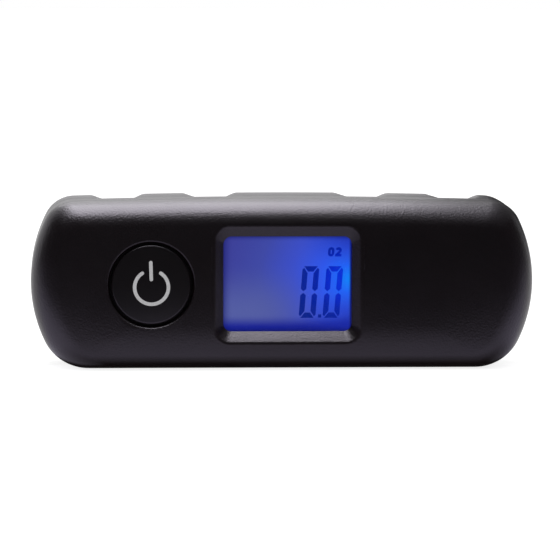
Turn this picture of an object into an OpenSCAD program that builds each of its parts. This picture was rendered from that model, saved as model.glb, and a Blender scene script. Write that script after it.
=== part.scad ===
// Digital luggage scale: a two-shell handle with a lit display, a power button, a bending-beam
// load cell and a wire loop for the strap. The front faces -Y and the base rests on Z = 0.

/* [Body] */
// Width of the body, end to end
body_w = 135; // [130:1:160]
// Height of the body, base to top
body_h = 45.8; // [44:0.1:52]
// Depth of the body, front face to rear face
body_d = 32; // [31:0.5:40]
// Depth of the front shell, up to the joint between the shells
front_d = 15; // [14:0.5:17]
// Wall of both shells
wall = 2.2; // [1.8:0.1:2.6]
// Radius of the bulged ends
end_bulge_r = 39.2; // [37:0.2:44]
// Height of the widest point of the ends
end_bulge_z = 24.1; // [22.5:0.1:25]
// Corner radius where the ends meet the top
top_corner_r = 8.4; // [6:0.1:10]
// Corner radius where the ends meet the base
base_corner_r = 13; // [10:0.1:14]
// Radius of the slight crown along the top
crown_r = 1900; // [1200:10:4000]
// Height of the display, button and load eye above the middle
mid_lift = 0.2; // [0:0.1:0.5]
// Reach of the joint lip into the rear shell
lip_h = 1.5; // [1:0.1:2]

/* [Edges] */
// Depth of the rounding round the front face
front_round_d = 8; // [6:0.25:9]
// Reach of that rounding at the ends
front_round_end = 8; // [6:0.25:9]
// Reach of that rounding at the top
front_round_top = 7; // [5:0.25:8]
// Reach of that rounding at the base
front_round_base = 4.5; // [3:0.25:6]
// Bulge of the front face
face_dome_d = 0.7; // [0.4:0.1:0.9]
// Width of the band over which the face falls away
face_dome_w = 14; // [8:0.5:14]
// Rounding round the rear face
rear_round = 6; // [4:0.25:7]

/* [Finger grooves] */
// Radius of a finger groove
groove_r = 10.4; // [9:0.1:11.5]
// Depth of the grooves at the joint between the shells
groove_start = 1; // [0.8:0.1:1.6]
// Tilt of the grooves down towards the rear
groove_tilt = 5.5; // [4:0.5:10]
// Distance of the inner grooves from the middle of the row
groove_inner_x = 20.7; // [18:0.1:22]
// Distance of the outer grooves from the middle of the row
groove_outer_x = 45.8; // [43:0.1:46.5]
// Shift of the row of grooves to the right
groove_shift = 1.6; // [0:0.1:2]
// Height of the rear shell's top above the front shell's
pad_lift = 0.3; // [0:0.05:0.6]

/* [Display] */
// Place of the display across the face
display_x = 1; // [0:0.1:3]
// Width of the bezel recess at the face
bezel_w = 39.5; // [38:0.1:40.5]
// Height of the bezel recess at the face
bezel_h = 31.6; // [29:0.1:32.5]
// Corner radius of the bezel recess
bezel_r = 4; // [3:0.1:5]
// Depth of the bezel recess
bezel_depth = 2.6; // [2.3:0.1:3]
// Width of the clear opening
glass_w = 34.3; // [33:0.1:35]
// Height of the clear opening
glass_h = 25.4; // [24:0.1:26]
// Corner radius of the clear opening
glass_r = 2.2; // [1.5:0.1:3]
// Lap of the window behind the opening
window_lap = 1.4; // [1.2:0.1:1.6]
// Thickness of the window
window_t = 1.2; // [1:0.1:1.5]
// Thickness of the gasket behind the window
gasket_t = 0.8; // [0.6:0.1:1.2]
// Lap of the gasket's opening behind the clear opening
gasket_lap = 0.4; // [0.3:0.1:0.6]
// Lap of the LCD glass behind the opening
lcd_lap = 1.1; // [0.9:0.1:1.1]
// Thickness of the LCD glass
lcd_t = 2; // [1.6:0.1:2.4]
// Thickness of the light guide
guide_t = 2.5; // [2:0.1:3]
// Width of the backlight LED along X
led_w = 1.6; // [1.2:0.1:2]
// Length of the backlight LED along Z
led_l = 5; // [3:0.5:8]
// Height of the elastomer connector strip
zebra_h = 1.8; // [1.4:0.1:2.2]
// Wall of the frame that holds the display stack
frame_wall = 1.6; // [1.2:0.1:1.8]

/* [Power button] */
// Place of the button across the face
button_x = -35.5; // [-36.5:0.1:-35]
// Radius of the button cap
cap_r = 10.75; // [10:0.05:11]
// Rounding of the cap's rim
cap_round = 0.5; // [0.3:0.1:0.8]
// Depth of the cap below the face
cap_sink = 1; // [0.6:0.1:1.4]
// Thickness of the cap's flange
flange_t = 1; // [0.8:0.1:1.2]
// Width of the cap's flange
flange_w = 1.45; // [1.2:0.05:1.6]
// Chamfer round the button's hole
hole_chamfer = 0.45; // [0.3:0.05:0.6]
// Travel of the button
button_travel = 0.6; // [0.3:0.05:0.7]
// Radius of the stem under the cap
stem_r = 1.5; // [1:0.1:2]
// Side of the square switch
switch_w = 6; // [5:0.5:8]
// Height of the switch body
switch_h = 3.6; // [3:0.1:3.8]
// Radius of the switch plunger
plunger_r = 1.75; // [1.25:0.05:2]
// Height of the plunger above the switch body
plunger_h = 1.2; // [1:0.1:1.4]

/* [Circuit board] */
// Thickness of the board
board_t = 1.6; // [1.2:0.1:1.8]
// Height of the board
board_h = 33; // [32:0.5:34]
// Gap between the board and the nearest case posts
board_gap = 0.5; // [0.3:0.1:1]
// Margin of the board beyond the display frame
board_right = 7; // [6.5:0.1:8]
// Distance of the board's screws from its edges
board_screw_in = 3; // [3:0.1:3.2]
// Diameter of the board's screws
board_screw_d = 2; // [1.8:0.1:2.2]
// Diameter of the board screws' heads
board_head_d = 3.8; // [3.4:0.1:4.2]
// Height of the board screws' heads
board_head_h = 1.4; // [1:0.1:1.8]
// Length of the board's screws in their posts
board_screw_grip = 5; // [3.5:0.1:5.5]
// Wall of the posts round the board's screws
board_post_wall = 1.5; // [1.2:0.1:1.6]
// Radius of the controller's epoxy blob
blob_r = 5; // [4:0.1:6]
// Height of the controller's epoxy blob
blob_h = 1.6; // [1:0.1:2]
// Radius of the capacitors
capacitor_r = 2; // [1.5:0.1:2.5]
// Length of the capacitors
capacitor_l = 5; // [4:0.1:5.5]

/* [Load cell] */
// Depth of the beam, along the pull
beam_d = 8; // [7:0.1:8.5]
// Height of the beam
beam_h = 12; // [11:0.5:14]
// Reach of the beam past the eye
beam_free = 8; // [7:0.5:9]
// Distance from the eye to the beam's fixed end
beam_fixed = 50; // [49:0.5:51]
// Height of the beam's seat above the rear wall
seat_h = 4; // [3.5:0.1:4.5]
// Length of the beam's seat
seat_l = 21; // [19:0.5:22]
// Radius of the beam's twin bores
bore_r = 2.8; // [2.5:0.1:3]
// Distance between the twin bores
bore_pitch = 10; // [8:0.5:11]
// Distance from the eye to the middle of the twin bores
bore_x = 18; // [17:0.5:19]
// Width of the slot between the twin bores
bore_slot = 2; // [1.5:0.1:3]
// Diameter of the beam's screws
beam_screw_d = 4; // [3.5:0.1:4.2]
// Distance between the beam's screws
beam_screw_pitch = 10; // [9:0.5:11]
// Distance of the outer beam screw from the fixed end
beam_screw_in = 4.5; // [4.5:0.1:5]
// Diameter of the beam screws' heads
beam_head_d = 7.2; // [6.5:0.1:8]
// Height of the beam screws' heads
beam_head_h = 2.4; // [2:0.1:2.8]
// Length of a strain gauge
gauge_l = 6; // [4:0.5:7]
// Height of a strain gauge
gauge_h = 4; // [3:0.5:6]
// Thickness of a strain gauge with its coating
gauge_t = 0.2; // [0.1:0.05:0.4]

/* [Load eye and strap loop] */
// Width of the eye, along its bore
eye_w = 8; // [7:0.5:9]
// Radius of the eye's round end
eye_r = 4.5; // [4:0.1:4.8]
// Distance of the eye's bore behind the rear face
eye_out = 3; // [2.8:0.1:5]
// Diameter of the eye's threaded shank
shank_d = 5; // [4:0.5:5]
// Across flats of the eye's nut
nut_af = 8; // [8:0.1:9]
// Thickness of the eye's nut
nut_t = 2.7; // [2.5:0.1:3]
// Diameter of the eye's washer
washer_d = 9.6; // [9:0.1:11]
// Thickness of the eye's washer
washer_t = 1; // [0.8:0.1:1.2]
// Diameter of the loop's wire
wire_d = 4; // [3:0.1:4]
// Clear width of the loop, for the strap
loop_w = 27; // [24:0.5:32]
// Distance between the loop's two long bars
loop_h = 19; // [16:0.5:20]
// Bend radius of the loop's corners
loop_bend = 4; // [3.5:0.1:6]

/* [Battery] */
// Place of the battery bay across the rear face
bay_x = -33; // [-33.5:0.1:-31]
// Radius of the coin cell
cell_r = 10; // [8:0.1:10]
// Thickness of the coin cell
cell_t = 3.2; // [2.5:0.1:3.2]
// Radius of the battery door
door_r = 12.5; // [12:0.1:12.8]
// Thickness of the battery door
door_t = 3; // [2.8:0.1:3.4]
// Depth of the door below the rear face
door_sink = 0.2; // [0.1:0.05:0.4]
// Turn of the door from locked to release, in degrees
door_turn = 35; // [30:1:60]
// Reach of the door's lugs
lug_reach = 1.5; // [1.2:0.1:1.6]
// Width of the door's lugs
lug_w = 6; // [4:0.5:8]
// Thickness of the door's lugs
lug_t = 1.2; // [1:0.1:1.3]
// Length of the door's coin slot
coin_l = 14; // [10:0.5:18]
// Width of the door's coin slot
coin_w = 1.8; // [1.5:0.1:2.2]
// Depth of the door's coin slot
coin_depth = 1.2; // [0.8:0.1:1.5]
// Thickness of the bay's floor
bay_floor_t = 1.4; // [1.2:0.1:1.8]
// Wall of the bay round the door's lugs
bay_wall = 1.6; // [1.2:0.1:1.8]
// Thickness of the contact strips
contact_t = 0.4; // [0.3:0.05:0.4]
// Width of the contact strips
contact_w = 5; // [4:0.5:6]
// Room for the contacts under the cell
contact_room = 0.9; // [0.8:0.05:1.2]

/* [Leads] */
// Diameter of the battery leads
lead_d = 1.2; // [0.8:0.1:1.4]
// Diameter of the load cell's cable
cable_d = 2.4; // [1.6:0.1:2.6]

/* [Case screws] */
// Diameter of the case screws
case_screw_d = 2.9; // [2.5:0.1:3]
// Diameter of the case screws' heads
case_head_d = 5.2; // [4.8:0.1:5.4]
// Height of the case screws' heads
case_head_h = 2; // [1.6:0.1:2.4]
// Length of the case screws below their heads
case_screw_l = 16; // [15:0.5:17]
// Depth of the screw heads' seats below the rear face
case_seat = 6; // [5:0.25:7]
// Distance of the case screws from the ends
case_screw_in = 11.5; // [11:0.1:12]
// Height of the case screws above and below the middle
case_screw_z = 10.75; // [10:0.25:11.5]
// Wall of the posts round the case screws
post_wall = 1.7; // [1.4:0.1:1.7]

/* [Clearances] */
// Gap of a piece that drops into its seat
seat_gap = 0.1; // [0.05:0.01:0.15]
// Gap round the button cap in its hole
cap_gap = 0.35; // [0.25:0.05:0.45]
// Gap round the load eye in the rear wall
eye_gap = 0.8; // [0.5:0.1:1]
// Gap of a pin or plunger that slides or turns
run_gap = 0.05; // [0.03:0.01:0.08]

/* [Hidden] */
$fn = 64;

// Planes across the depth of the body
face_y = -body_d / 2;
rear_y = body_d / 2;
split_y = face_y + front_d;
inner_face_y = face_y + wall;
inner_rear_y = rear_y - wall;
mid_z = body_h / 2 + mid_lift;

// Steps of the outline and of the rounded edges
corner_steps = 6;
end_steps = 10;
crown_steps = 6;
dome_steps = 4;
round_steps = 7;
least_corner_r = 0.8;
cut_over = 1;

// Display stack, from the window back to the board
window_w = glass_w + 2 * window_lap;
window_h = glass_h + 2 * window_lap;
window_y = face_y + bezel_depth;
gasket_y = window_y + window_t;
gasket_in_w = glass_w + 2 * gasket_lap;
gasket_in_h = glass_h + 2 * gasket_lap;
lcd_y = gasket_y + gasket_t;
lcd_w = glass_w + 2 * lcd_lap;
lcd_h = glass_h + 2 * lcd_lap;
guide_y = lcd_y + lcd_t;
board_y = guide_y + guide_t;
board_rear_y = board_y + board_t;
frame_w = lcd_w + 2 * (seat_gap + frame_wall);
frame_h = lcd_h + 2 * (seat_gap + frame_wall);
bezel_rim_w = window_w + 2 * (seat_gap + wall);
bezel_rim_h = window_h + 2 * (seat_gap + wall);
guide_w = lcd_w - led_w - seat_gap;
guide_h = lcd_h - zebra_h - seat_gap;
guide_x = display_x - (lcd_w - guide_w) / 2;
guide_z = mid_z + (lcd_h - guide_h) / 2;
frame_in_w = lcd_w + 2 * seat_gap;
frame_in_h = lcd_h + 2 * seat_gap;

// Button, from its cap back to the switch
hole_r = cap_r + cap_gap;
flange_r = cap_r + flange_w;
guide_bore_r = flange_r + cap_gap;
cap_y = face_y + cap_sink;
flange_y = inner_face_y + cap_gap;
cap_back_y = flange_y + flange_t;
button_guide_r = guide_bore_r + wall;
button_guide_y = cap_back_y + button_travel;
pocket_r = cap_r - wall;
pocket_depth = flange_t;
plunger_y = board_y - switch_h - plunger_h;
plunger_root = 1;
plunger_bore = plunger_root + button_travel + seat_gap;

// Case screws
case_screw_xs = [-body_w / 2 + case_screw_in, body_w / 2 - case_screw_in];
case_screw_zs = [mid_z - case_screw_z, mid_z + case_screw_z];
case_hole_r = case_screw_d / 2 + seat_gap;
case_recess_r = case_head_d / 2 + 2 * seat_gap;
post_r = case_hole_r + post_wall;
head_post_r = case_recess_r + post_wall;
case_seat_y = rear_y - case_seat;

// Board and its screws
board_x0 = case_screw_xs[0] + post_r + board_gap;
board_x1 = display_x + frame_w / 2 + board_right;
board_w = board_x1 - board_x0;
board_x = (board_x0 + board_x1) / 2;
board_hole_r = board_screw_d / 2 + seat_gap;
board_post_r = board_hole_r + board_post_wall;
board_screw_xs = [board_x0 + board_screw_in, board_x1 - board_screw_in];
board_screw_zs = [mid_z - board_h / 2 + board_screw_in, mid_z + board_h / 2 - board_screw_in];
blob_x = board_x - board_w / 6;
blob_z = mid_z + board_h / 4;
capacitor_pitch = 3 * capacitor_r;
capacitor_xs = [board_x + board_w / 3 - capacitor_pitch, board_x + board_w / 3];
capacitor_z = mid_z - board_h / 3;

// Load cell, from its seat on the rear wall forwards
beam_rear_y = inner_rear_y - seat_h;
beam_y = beam_rear_y - beam_d;
beam_x = (beam_fixed - beam_free) / 2;
beam_screw_xs = [beam_fixed - beam_screw_in, beam_fixed - beam_screw_in - beam_screw_pitch];
beam_hole_r = beam_screw_d / 2 + seat_gap;
beam_screw_grip = seat_h + wall / 2;

// Load eye and loop
eye_y = rear_y + eye_out;
eye_bore_r = wire_d / 2 + run_gap;
eye_hole_w = eye_w + 2 * eye_gap;
eye_hole_h = 2 * (eye_r + eye_gap);
nut_y = beam_y - washer_t - nut_t;
shank_over = 0.5;
shank_hole_r = shank_d / 2 + seat_gap;
loop_x = loop_w / 2 + wire_d / 2;

// Battery bay, from the door forwards
door_out_y = rear_y - door_sink;
door_in_y = door_out_y - door_t;
door_ledge_y = door_in_y - seat_gap;
cell_rear_y = door_ledge_y - 2 * seat_gap;
cell_y = cell_rear_y - cell_t;
bay_floor_y = cell_y - contact_room;
bay_y = bay_floor_y - bay_floor_t;
lug_r = door_r + lug_reach;
lug_bore_r = lug_r + 2 * seat_gap;
lug_top_y = door_in_y + lug_t + seat_gap;
bay_r = lug_bore_r + bay_wall;
cell_bore_r = cell_r + 3 * seat_gap;
contact_gap = 0.05;
contact_slot_l = contact_w + 2 * seat_gap;
contact_slot_w = contact_t + 2 * seat_gap;
contact_tail = 1.6;
tail_y = bay_y - contact_tail;
positive_x = bay_x + cell_r + contact_gap;

// Routes of the inner leads, chosen by hand. Each starts and ends square to what it meets.
lead_steps = 4;
lead_sides = 8;
positive_route = [
    [positive_x + contact_t / 2, tail_y, mid_z],
    [positive_x + contact_t / 2, tail_y - 2, mid_z],
    [positive_x - 2, tail_y - 5, mid_z - 3],
    [positive_x - 4, board_rear_y + 2, mid_z - 6],
    [positive_x - 4, board_rear_y, mid_z - 6]
];
negative_route = [
    [bay_x, tail_y, mid_z],
    [bay_x, tail_y - 2, mid_z],
    [bay_x - 2, tail_y - 5, mid_z - 3],
    [bay_x - 4, board_rear_y + 2, mid_z - 6],
    [bay_x - 4, board_rear_y, mid_z - 6]
];
cable_route = [
    [bore_x, beam_y - gauge_t, mid_z + 1],
    [bore_x, beam_y - gauge_t - 2, mid_z + 1],
    [bore_x - 5, (beam_y + board_rear_y) / 2, mid_z + 6],
    [bore_x - 10, board_rear_y + 2, mid_z + 9],
    [bore_x - 10, board_rear_y, mid_z + 9]
];

// Points of an arc, leaving out its first point when it follows another arc
function arc(cx, cz, r, from, to, steps, first = 0) = [
    for (i = [first : steps])
        let (a = from + (to - from) * i / steps)
            [cx + r * cos(a), cz + r * sin(a)]
];

// Right half of the body's outline, from the base up: base corner, bulged end, top corner
function half_outline(end_in, top_z, base_z) =
    let (
        end_r = end_bulge_r - end_in,
        end_x = body_w / 2 - end_bulge_r,
        top_r = max(top_corner_r - end_in, least_corner_r),
        base_r = max(base_corner_r - end_in, least_corner_r),
        top_cz = top_z - top_r,
        base_cz = base_z + base_r,
        top_cx = end_x + sqrt(pow(end_r - top_r, 2) - pow(top_cz - end_bulge_z, 2)),
        base_cx = end_x + sqrt(pow(end_r - base_r, 2) - pow(base_cz - end_bulge_z, 2)),
        top_a = atan2(top_cz - end_bulge_z, top_cx - end_x),
        base_a = atan2(base_cz - end_bulge_z, base_cx - end_x)
    )
    concat(
        arc(base_cx, base_cz, base_r, -90, base_a, corner_steps),
        arc(end_x, end_bulge_z, end_r, base_a, top_a, end_steps, 1),
        arc(top_cx, top_cz, top_r, top_a, 90, corner_steps, 1)
    );

function crown_drop(x) = x * x / (2 * crown_r);
function crowned(p) = [p.x, p.y - crown_drop(p.x) * p.y / body_h];

// Whole outline, with the crown along the top
function outline(end_in, top_z, base_z) =
    let (
        half = half_outline(end_in, top_z, base_z),
        last = len(half) - 1,
        top_x = half[last].x
    )
    [
        for (p = half) crowned(p),
        for (i = [1 : crown_steps - 1]) crowned([top_x * (1 - 2 * i / crown_steps), top_z]),
        for (i = [0 : last]) crowned([-half[last - i].x, half[last - i].y])
    ];

// One ring of a body, at a depth, drawn in at the ends, the top and the base
function ring(y, end_in, top_in, base_in, lift = 0) = [
    for (p = outline(end_in, body_h + lift - top_in, base_in)) [p.x, y, p.y]
];
function front_ring(depth, reach, off) = ring(
    face_y + depth + off,
    front_round_end * reach + off,
    front_round_top * reach + off,
    front_round_base * reach + off
);

// Front body: a domed face, a rounded edge and straight sides. off draws the whole in by a wall.
function front_rings(off) = [
    for (i = [0 : dome_steps - 1])
        let (f = i / dome_steps)
            front_ring(face_dome_d * f * f, 1 + face_dome_w / front_round_end * (1 - f), off),
    for (i = [0 : round_steps])
        let (a = 90 * i / round_steps)
            front_ring(face_dome_d + front_round_d * (1 - cos(a)), 1 - sin(a), off),
    ring(split_y, off, off, off)
];

// Rear body: straight sides and a rounded edge
function rear_rings(off) = [
    ring(split_y, off, off, off, pad_lift),
    for (i = [0 : round_steps])
        let (
            a = 90 * i / round_steps,
            in = rear_round * (1 - cos(a)) + off
        )
            ring(rear_y - off - rear_round * (1 - sin(a)), in, in, in, pad_lift)
];

// Ring of a rounded rectangle
function rect_ring(y, cx, cz, w, h, r) = [
    for (q = [[1, -1, -90], [1, 1, 0], [-1, 1, 90], [-1, -1, 180]])
        for (p = arc(cx + q[0] * (w / 2 - r), cz + q[1] * (h / 2 - r), r, q[2], q[2] + 90, corner_steps))
            [p.x, y, p.y]
];

// Centre line through hand-chosen points, rounded by a spline
function blend(a, b, c, d, t) =
    0.5 * (2 * b + (c - a) * t + (2 * a - 5 * b + 4 * c - d) * t * t + (3 * b - a - 3 * c + d) * t * t * t);
function spline(pts) =
    let (last = len(pts) - 1)
    [
        for (i = [0 : last - 1])
            for (k = [0 : lead_steps - 1])
                blend(pts[max(i - 1, 0)], pts[i], pts[i + 1], pts[min(i + 2, last)], k / lead_steps),
        pts[last]
    ];

// Ring of a lead: its end rings lie square to the Y axis
function lead_ring(line, i, r) =
    let (
        last = len(line) - 1,
        ahead = line[min(i + 1, last)] - line[max(i - 1, 0)],
        dir = i == 0 || i == last ? [0, -1, 0] : ahead / norm(ahead),
        side = cross(dir, [0, 0, 1]) / norm(cross(dir, [0, 0, 1])),
        up = cross(dir, side)
    )
    [
        for (k = [0 : lead_sides - 1])
            line[i] + r * (cos(360 * k / lead_sides) * side + sin(360 * k / lead_sides) * up)
    ];

// Closed solid through a row of rings
module loft(rings) {
    n = len(rings[0]);
    last = len(rings) - 1;
    polyhedron(
        points = [for (row = rings) each row],
        faces = [
            [for (j = [n - 1 : -1 : 0]) j],
            [for (j = [0 : n - 1]) last * n + j],
            for (i = [0 : last - 1])
                for (j = [0 : n - 1])
                    each [
                        [i * n + j, i * n + (j + 1) % n, (i + 1) * n + j],
                        [(i + 1) * n + j, i * n + (j + 1) % n, (i + 1) * n + (j + 1) % n]
                    ]
        ]
    );
}

module lead(route, d) {
    line = spline(route);
    loft([for (i = [0 : len(line) - 1]) lead_ring(line, i, d / 2)]);
}

// Round bar along Y
module rod_y(x, z, r, y0, y1) {
    translate([x, y0, z]) rotate([-90, 0, 0]) cylinder(h = y1 - y0, r = r);
}

// Block along Y, centred on x and z
module slab_y(x, z, w, h, y0, y1) {
    translate([x - w / 2, y0, z - h / 2]) cube([w, y1 - y0, h]);
}

// Body outline as a plate along Y, drawn in all round
module outline_slab(off, y0, y1) {
    translate([0, y1, 0])
        rotate([90, 0, 0])
            linear_extrude(y1 - y0)
                polygon(outline(off, body_h - off, off));
}

module each_case_screw() {
    for (x = case_screw_xs)
        for (z = case_screw_zs)
            translate([x, 0, z]) children();
}

module each_board_screw() {
    for (x = board_screw_xs)
        for (z = board_screw_zs)
            translate([x, 0, z]) children();
}

// Lip that keys the front shell into the rear one, along the base and ends, or, grown, its seat
module joint_lip(outer_off, inner_off, grow) {
    lip_top = body_h - top_corner_r - wall;
    intersection() {
        difference() {
            outline_slab(outer_off, split_y - wall, split_y + lip_h + grow);
            outline_slab(inner_off, split_y - wall - cut_over, split_y + lip_h + cut_over);
        }
        slab_y(0, lip_top / 2, body_w, lip_top + grow, split_y - wall, split_y + lip_h + grow);
    }
}

module front_shell() {
    color("#161518")
        difference() {
            union() {
                difference() {
                    loft(front_rings(0));
                    loft(front_rings(wall));
                }
                joint_lip(wall / 2 + seat_gap, wall, 0);
                slab_y(display_x, mid_z, bezel_rim_w, bezel_rim_h, face_y + wall / 2, gasket_y);
                rod_y(button_x, mid_z, button_guide_r, face_y + wall / 2, button_guide_y);
                each_case_screw() rod_y(0, 0, post_r, face_y + wall / 2, split_y);
                each_board_screw() rod_y(0, 0, board_post_r, face_y + wall / 2, board_y);
            }
            loft([
                rect_ring(face_y - cut_over, display_x, mid_z, bezel_w, bezel_h, bezel_r),
                rect_ring(face_y, display_x, mid_z, bezel_w, bezel_h, bezel_r),
                rect_ring(window_y, display_x, mid_z, glass_w, glass_h, glass_r),
                rect_ring(window_y + cut_over, display_x, mid_z, glass_w, glass_h, glass_r)
            ]);
            slab_y(
                display_x, mid_z, window_w + 2 * seat_gap, window_h + 2 * seat_gap,
                window_y, gasket_y + cut_over
            );
            rod_y(button_x, mid_z, hole_r, face_y - cut_over, button_guide_y + cut_over);
            rod_y(button_x, mid_z, guide_bore_r, inner_face_y, button_guide_y + cut_over);
            translate([button_x, face_y, mid_z])
                rotate([-90, 0, 0])
                    cylinder(h = hole_chamfer, r1 = hole_r + hole_chamfer, r2 = hole_r);
            each_case_screw()
                rod_y(0, 0, case_hole_r, case_seat_y - case_screw_l - cut_over, split_y + cut_over);
            each_board_screw()
                rod_y(0, 0, board_hole_r, board_y - board_screw_grip - seat_gap, board_rear_y);
        }
}

// Finger grooves across the rear top edge. grow leaves a wall below them.
module finger_grooves(grow) {
    groove_l = body_d;
    for (x = [-groove_outer_x, -groove_inner_x, groove_inner_x, groove_outer_x])
        let (groove_x = x + groove_shift)
            translate([
                groove_x,
                split_y,
                body_h + pad_lift - crown_drop(groove_x) - groove_start + groove_r
            ])
                rotate([-90 - groove_tilt, 0, 0])
                    translate([0, 0, -groove_l / 2])
                        cylinder(h = 2 * groove_l, r = groove_r + grow);
}

// Door with its lugs, or, grown, the way that the door takes through the wall
module door_lugs(r, w, y0, y1) {
    intersection() {
        rod_y(0, 0, r, y0, y1);
        slab_y(0, 0, w, 3 * r, y0, y1);
    }
}

module rear_shell() {
    color("#161518")
        difference() {
            union() {
                difference() {
                    loft(rear_rings(0));
                    finger_grooves(0);
                    difference() {
                        loft(rear_rings(wall));
                        finger_grooves(wall);
                    }
                }
                each_case_screw() rod_y(0, 0, post_r, split_y, rear_y - wall / 2);
                each_case_screw() rod_y(0, 0, head_post_r, case_seat_y - wall, rear_y - wall / 2);
                rod_y(bay_x, mid_z, bay_r, bay_y, rear_y - wall / 2);
                slab_y(beam_fixed - seat_l / 2, mid_z, seat_l, beam_h, beam_rear_y, rear_y - wall / 2);
            }
            joint_lip(wall / 2, wall + cut_over, seat_gap);
            each_case_screw() rod_y(0, 0, case_hole_r, split_y - cut_over, rear_y);
            each_case_screw() rod_y(0, 0, case_recess_r, case_seat_y, rear_y + cut_over);
            slab_y(0, mid_z, eye_hole_w, eye_hole_h, inner_rear_y - cut_over, rear_y + cut_over);
            for (x = beam_screw_xs)
                rod_y(x, mid_z, beam_hole_r, beam_y, beam_rear_y + beam_screw_grip + seat_gap);
            translate([bay_x, 0, mid_z]) {
                rod_y(0, 0, cell_bore_r, bay_floor_y, rear_y);
                rod_y(0, 0, lug_bore_r, door_ledge_y, lug_top_y);
                rod_y(0, 0, door_r + seat_gap, door_in_y, rear_y + cut_over);
                rotate([0, door_turn, 0])
                    door_lugs(lug_r + seat_gap, lug_w + 4 * seat_gap, door_in_y, rear_y + cut_over);
                // Slots of the two contacts
                slab_y(0, 0, contact_slot_l, contact_slot_w, bay_y - cut_over, bay_floor_y + cut_over);
            }
            translate([positive_x + contact_t / 2, 0, mid_z])
                slab_y(0, 0, contact_slot_w, contact_slot_l, bay_y - cut_over, door_ledge_y + seat_gap);
        }
}

module display_window() {
    color("#a9bcd6", 0.35)
        slab_y(display_x, mid_z, window_w, window_h, window_y, gasket_y);
}

module window_gasket() {
    color("#1d1d1f")
        difference() {
            slab_y(display_x, mid_z, lcd_w, lcd_h, gasket_y, lcd_y);
            slab_y(display_x, mid_z, gasket_in_w, gasket_in_h, gasket_y - cut_over, lcd_y + cut_over);
        }
}

module lcd_panel() {
    color("#3c55c8")
        slab_y(display_x, mid_z, lcd_w, lcd_h, lcd_y, guide_y);
}

module light_guide() {
    color("#e8eefc")
        slab_y(guide_x, guide_z, guide_w, guide_h, guide_y, board_y);
}

module backlight_led() {
    color("#f4f1d8")
        slab_y(display_x + (lcd_w - led_w) / 2, mid_z, led_w, led_l, guide_y, board_y);
}

module zebra_strip() {
    color("#d9a7a7")
        slab_y(display_x, mid_z - (lcd_h - zebra_h) / 2, lcd_w, zebra_h, guide_y, board_y);
}

module lcd_frame() {
    color("#d9d9d6")
        difference() {
            slab_y(display_x, mid_z, frame_w, frame_h, gasket_y + seat_gap, board_y);
            slab_y(display_x, mid_z, frame_in_w, frame_in_h, gasket_y, board_y + cut_over);
        }
}

module circuit_board() {
    color("#1f6b3a")
        difference() {
            slab_y(board_x, mid_z, board_w, board_h, board_y, board_rear_y);
            each_board_screw()
                rod_y(0, 0, board_hole_r, board_y - cut_over, board_rear_y + cut_over);
        }
}

// Chip under a cap of epoxy: an arc turned about its own axis
module controller_blob() {
    ball_r = (blob_r * blob_r + blob_h * blob_h) / (2 * blob_h);
    color("#101010")
        translate([blob_x, board_rear_y, blob_z])
            rotate([-90, 0, 0])
                rotate_extrude()
                    intersection() {
                        translate([0, blob_h - ball_r]) circle(ball_r);
                        square([blob_r, blob_h]);
                    }
}

module board_capacitors() {
    color("#3a3f4a")
        for (x = capacitor_xs)
            rod_y(x, capacitor_z, capacitor_r, board_rear_y, board_rear_y + capacitor_l);
}

module board_screws() {
    color("silver")
        each_board_screw() {
            rod_y(0, 0, board_screw_d / 2, board_y - board_screw_grip, board_rear_y);
            rod_y(0, 0, board_head_d / 2, board_rear_y, board_rear_y + board_head_h);
        }
}

// Cap turned about its own axis: a rounded rim, a flange behind the wall and a stem to the switch
module power_button() {
    rim_y = cap_y + cap_round;
    color("#161518")
        translate([button_x, 0, mid_z])
            difference() {
                union() {
                    rod_y(0, 0, cap_r - cap_round, cap_y, rim_y);
                    rod_y(0, 0, cap_r, rim_y, cap_back_y);
                    rod_y(0, 0, flange_r, flange_y, cap_back_y);
                    translate([0, rim_y, 0])
                        rotate([90, 0, 0])
                            rotate_extrude()
                                intersection() {
                                    translate([cap_r - cap_round, 0]) circle(cap_round);
                                    translate([cap_r - cap_round, 0]) square(cap_round);
                                }
                    rod_y(0, 0, stem_r, cap_y + cap_round, plunger_y - run_gap);
                }
                difference() {
                    rod_y(0, 0, pocket_r, cap_back_y - pocket_depth, cap_back_y + cut_over);
                    rod_y(0, 0, stem_r, cap_y, plunger_y + cut_over);
                }
            }
}

module switch_body() {
    color("#26262a")
        difference() {
            slab_y(button_x, mid_z, switch_w, switch_w, board_y - switch_h, board_y);
            rod_y(
                button_x, mid_z, plunger_r + run_gap, board_y - switch_h - cut_over,
                board_y - switch_h + plunger_bore
            );
        }
}

module switch_plunger() {
    color("#b8b8b4")
        rod_y(button_x, mid_z, plunger_r, plunger_y, board_y - switch_h + plunger_root);
}

// Beam with twin bores that thin it to four bending webs
module load_cell() {
    color("#c2c6c9")
        difference() {
            slab_y(beam_x, mid_z, beam_fixed + beam_free, beam_h, beam_y, beam_rear_y);
            for (s = [-1, 1])
                translate([bore_x + s * bore_pitch / 2, (beam_y + beam_rear_y) / 2, mid_z - beam_h])
                    cylinder(h = 2 * beam_h, r = bore_r);
            slab_y(
                bore_x, mid_z, bore_pitch, 2 * beam_h,
                (beam_y + beam_rear_y - bore_slot) / 2, (beam_y + beam_rear_y + bore_slot) / 2
            );
            rod_y(0, mid_z, shank_hole_r, beam_y - cut_over, beam_rear_y + cut_over);
            for (x = beam_screw_xs)
                rod_y(x, mid_z, beam_hole_r, beam_y - cut_over, beam_rear_y + cut_over);
        }
}

module strain_gauges() {
    color("#e6e2d2")
        for (s = [-1, 1])
            for (y = [beam_y - gauge_t, beam_rear_y])
                slab_y(bore_x + s * bore_pitch / 2, mid_z, gauge_l, gauge_h, y, y + gauge_t);
}

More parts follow.
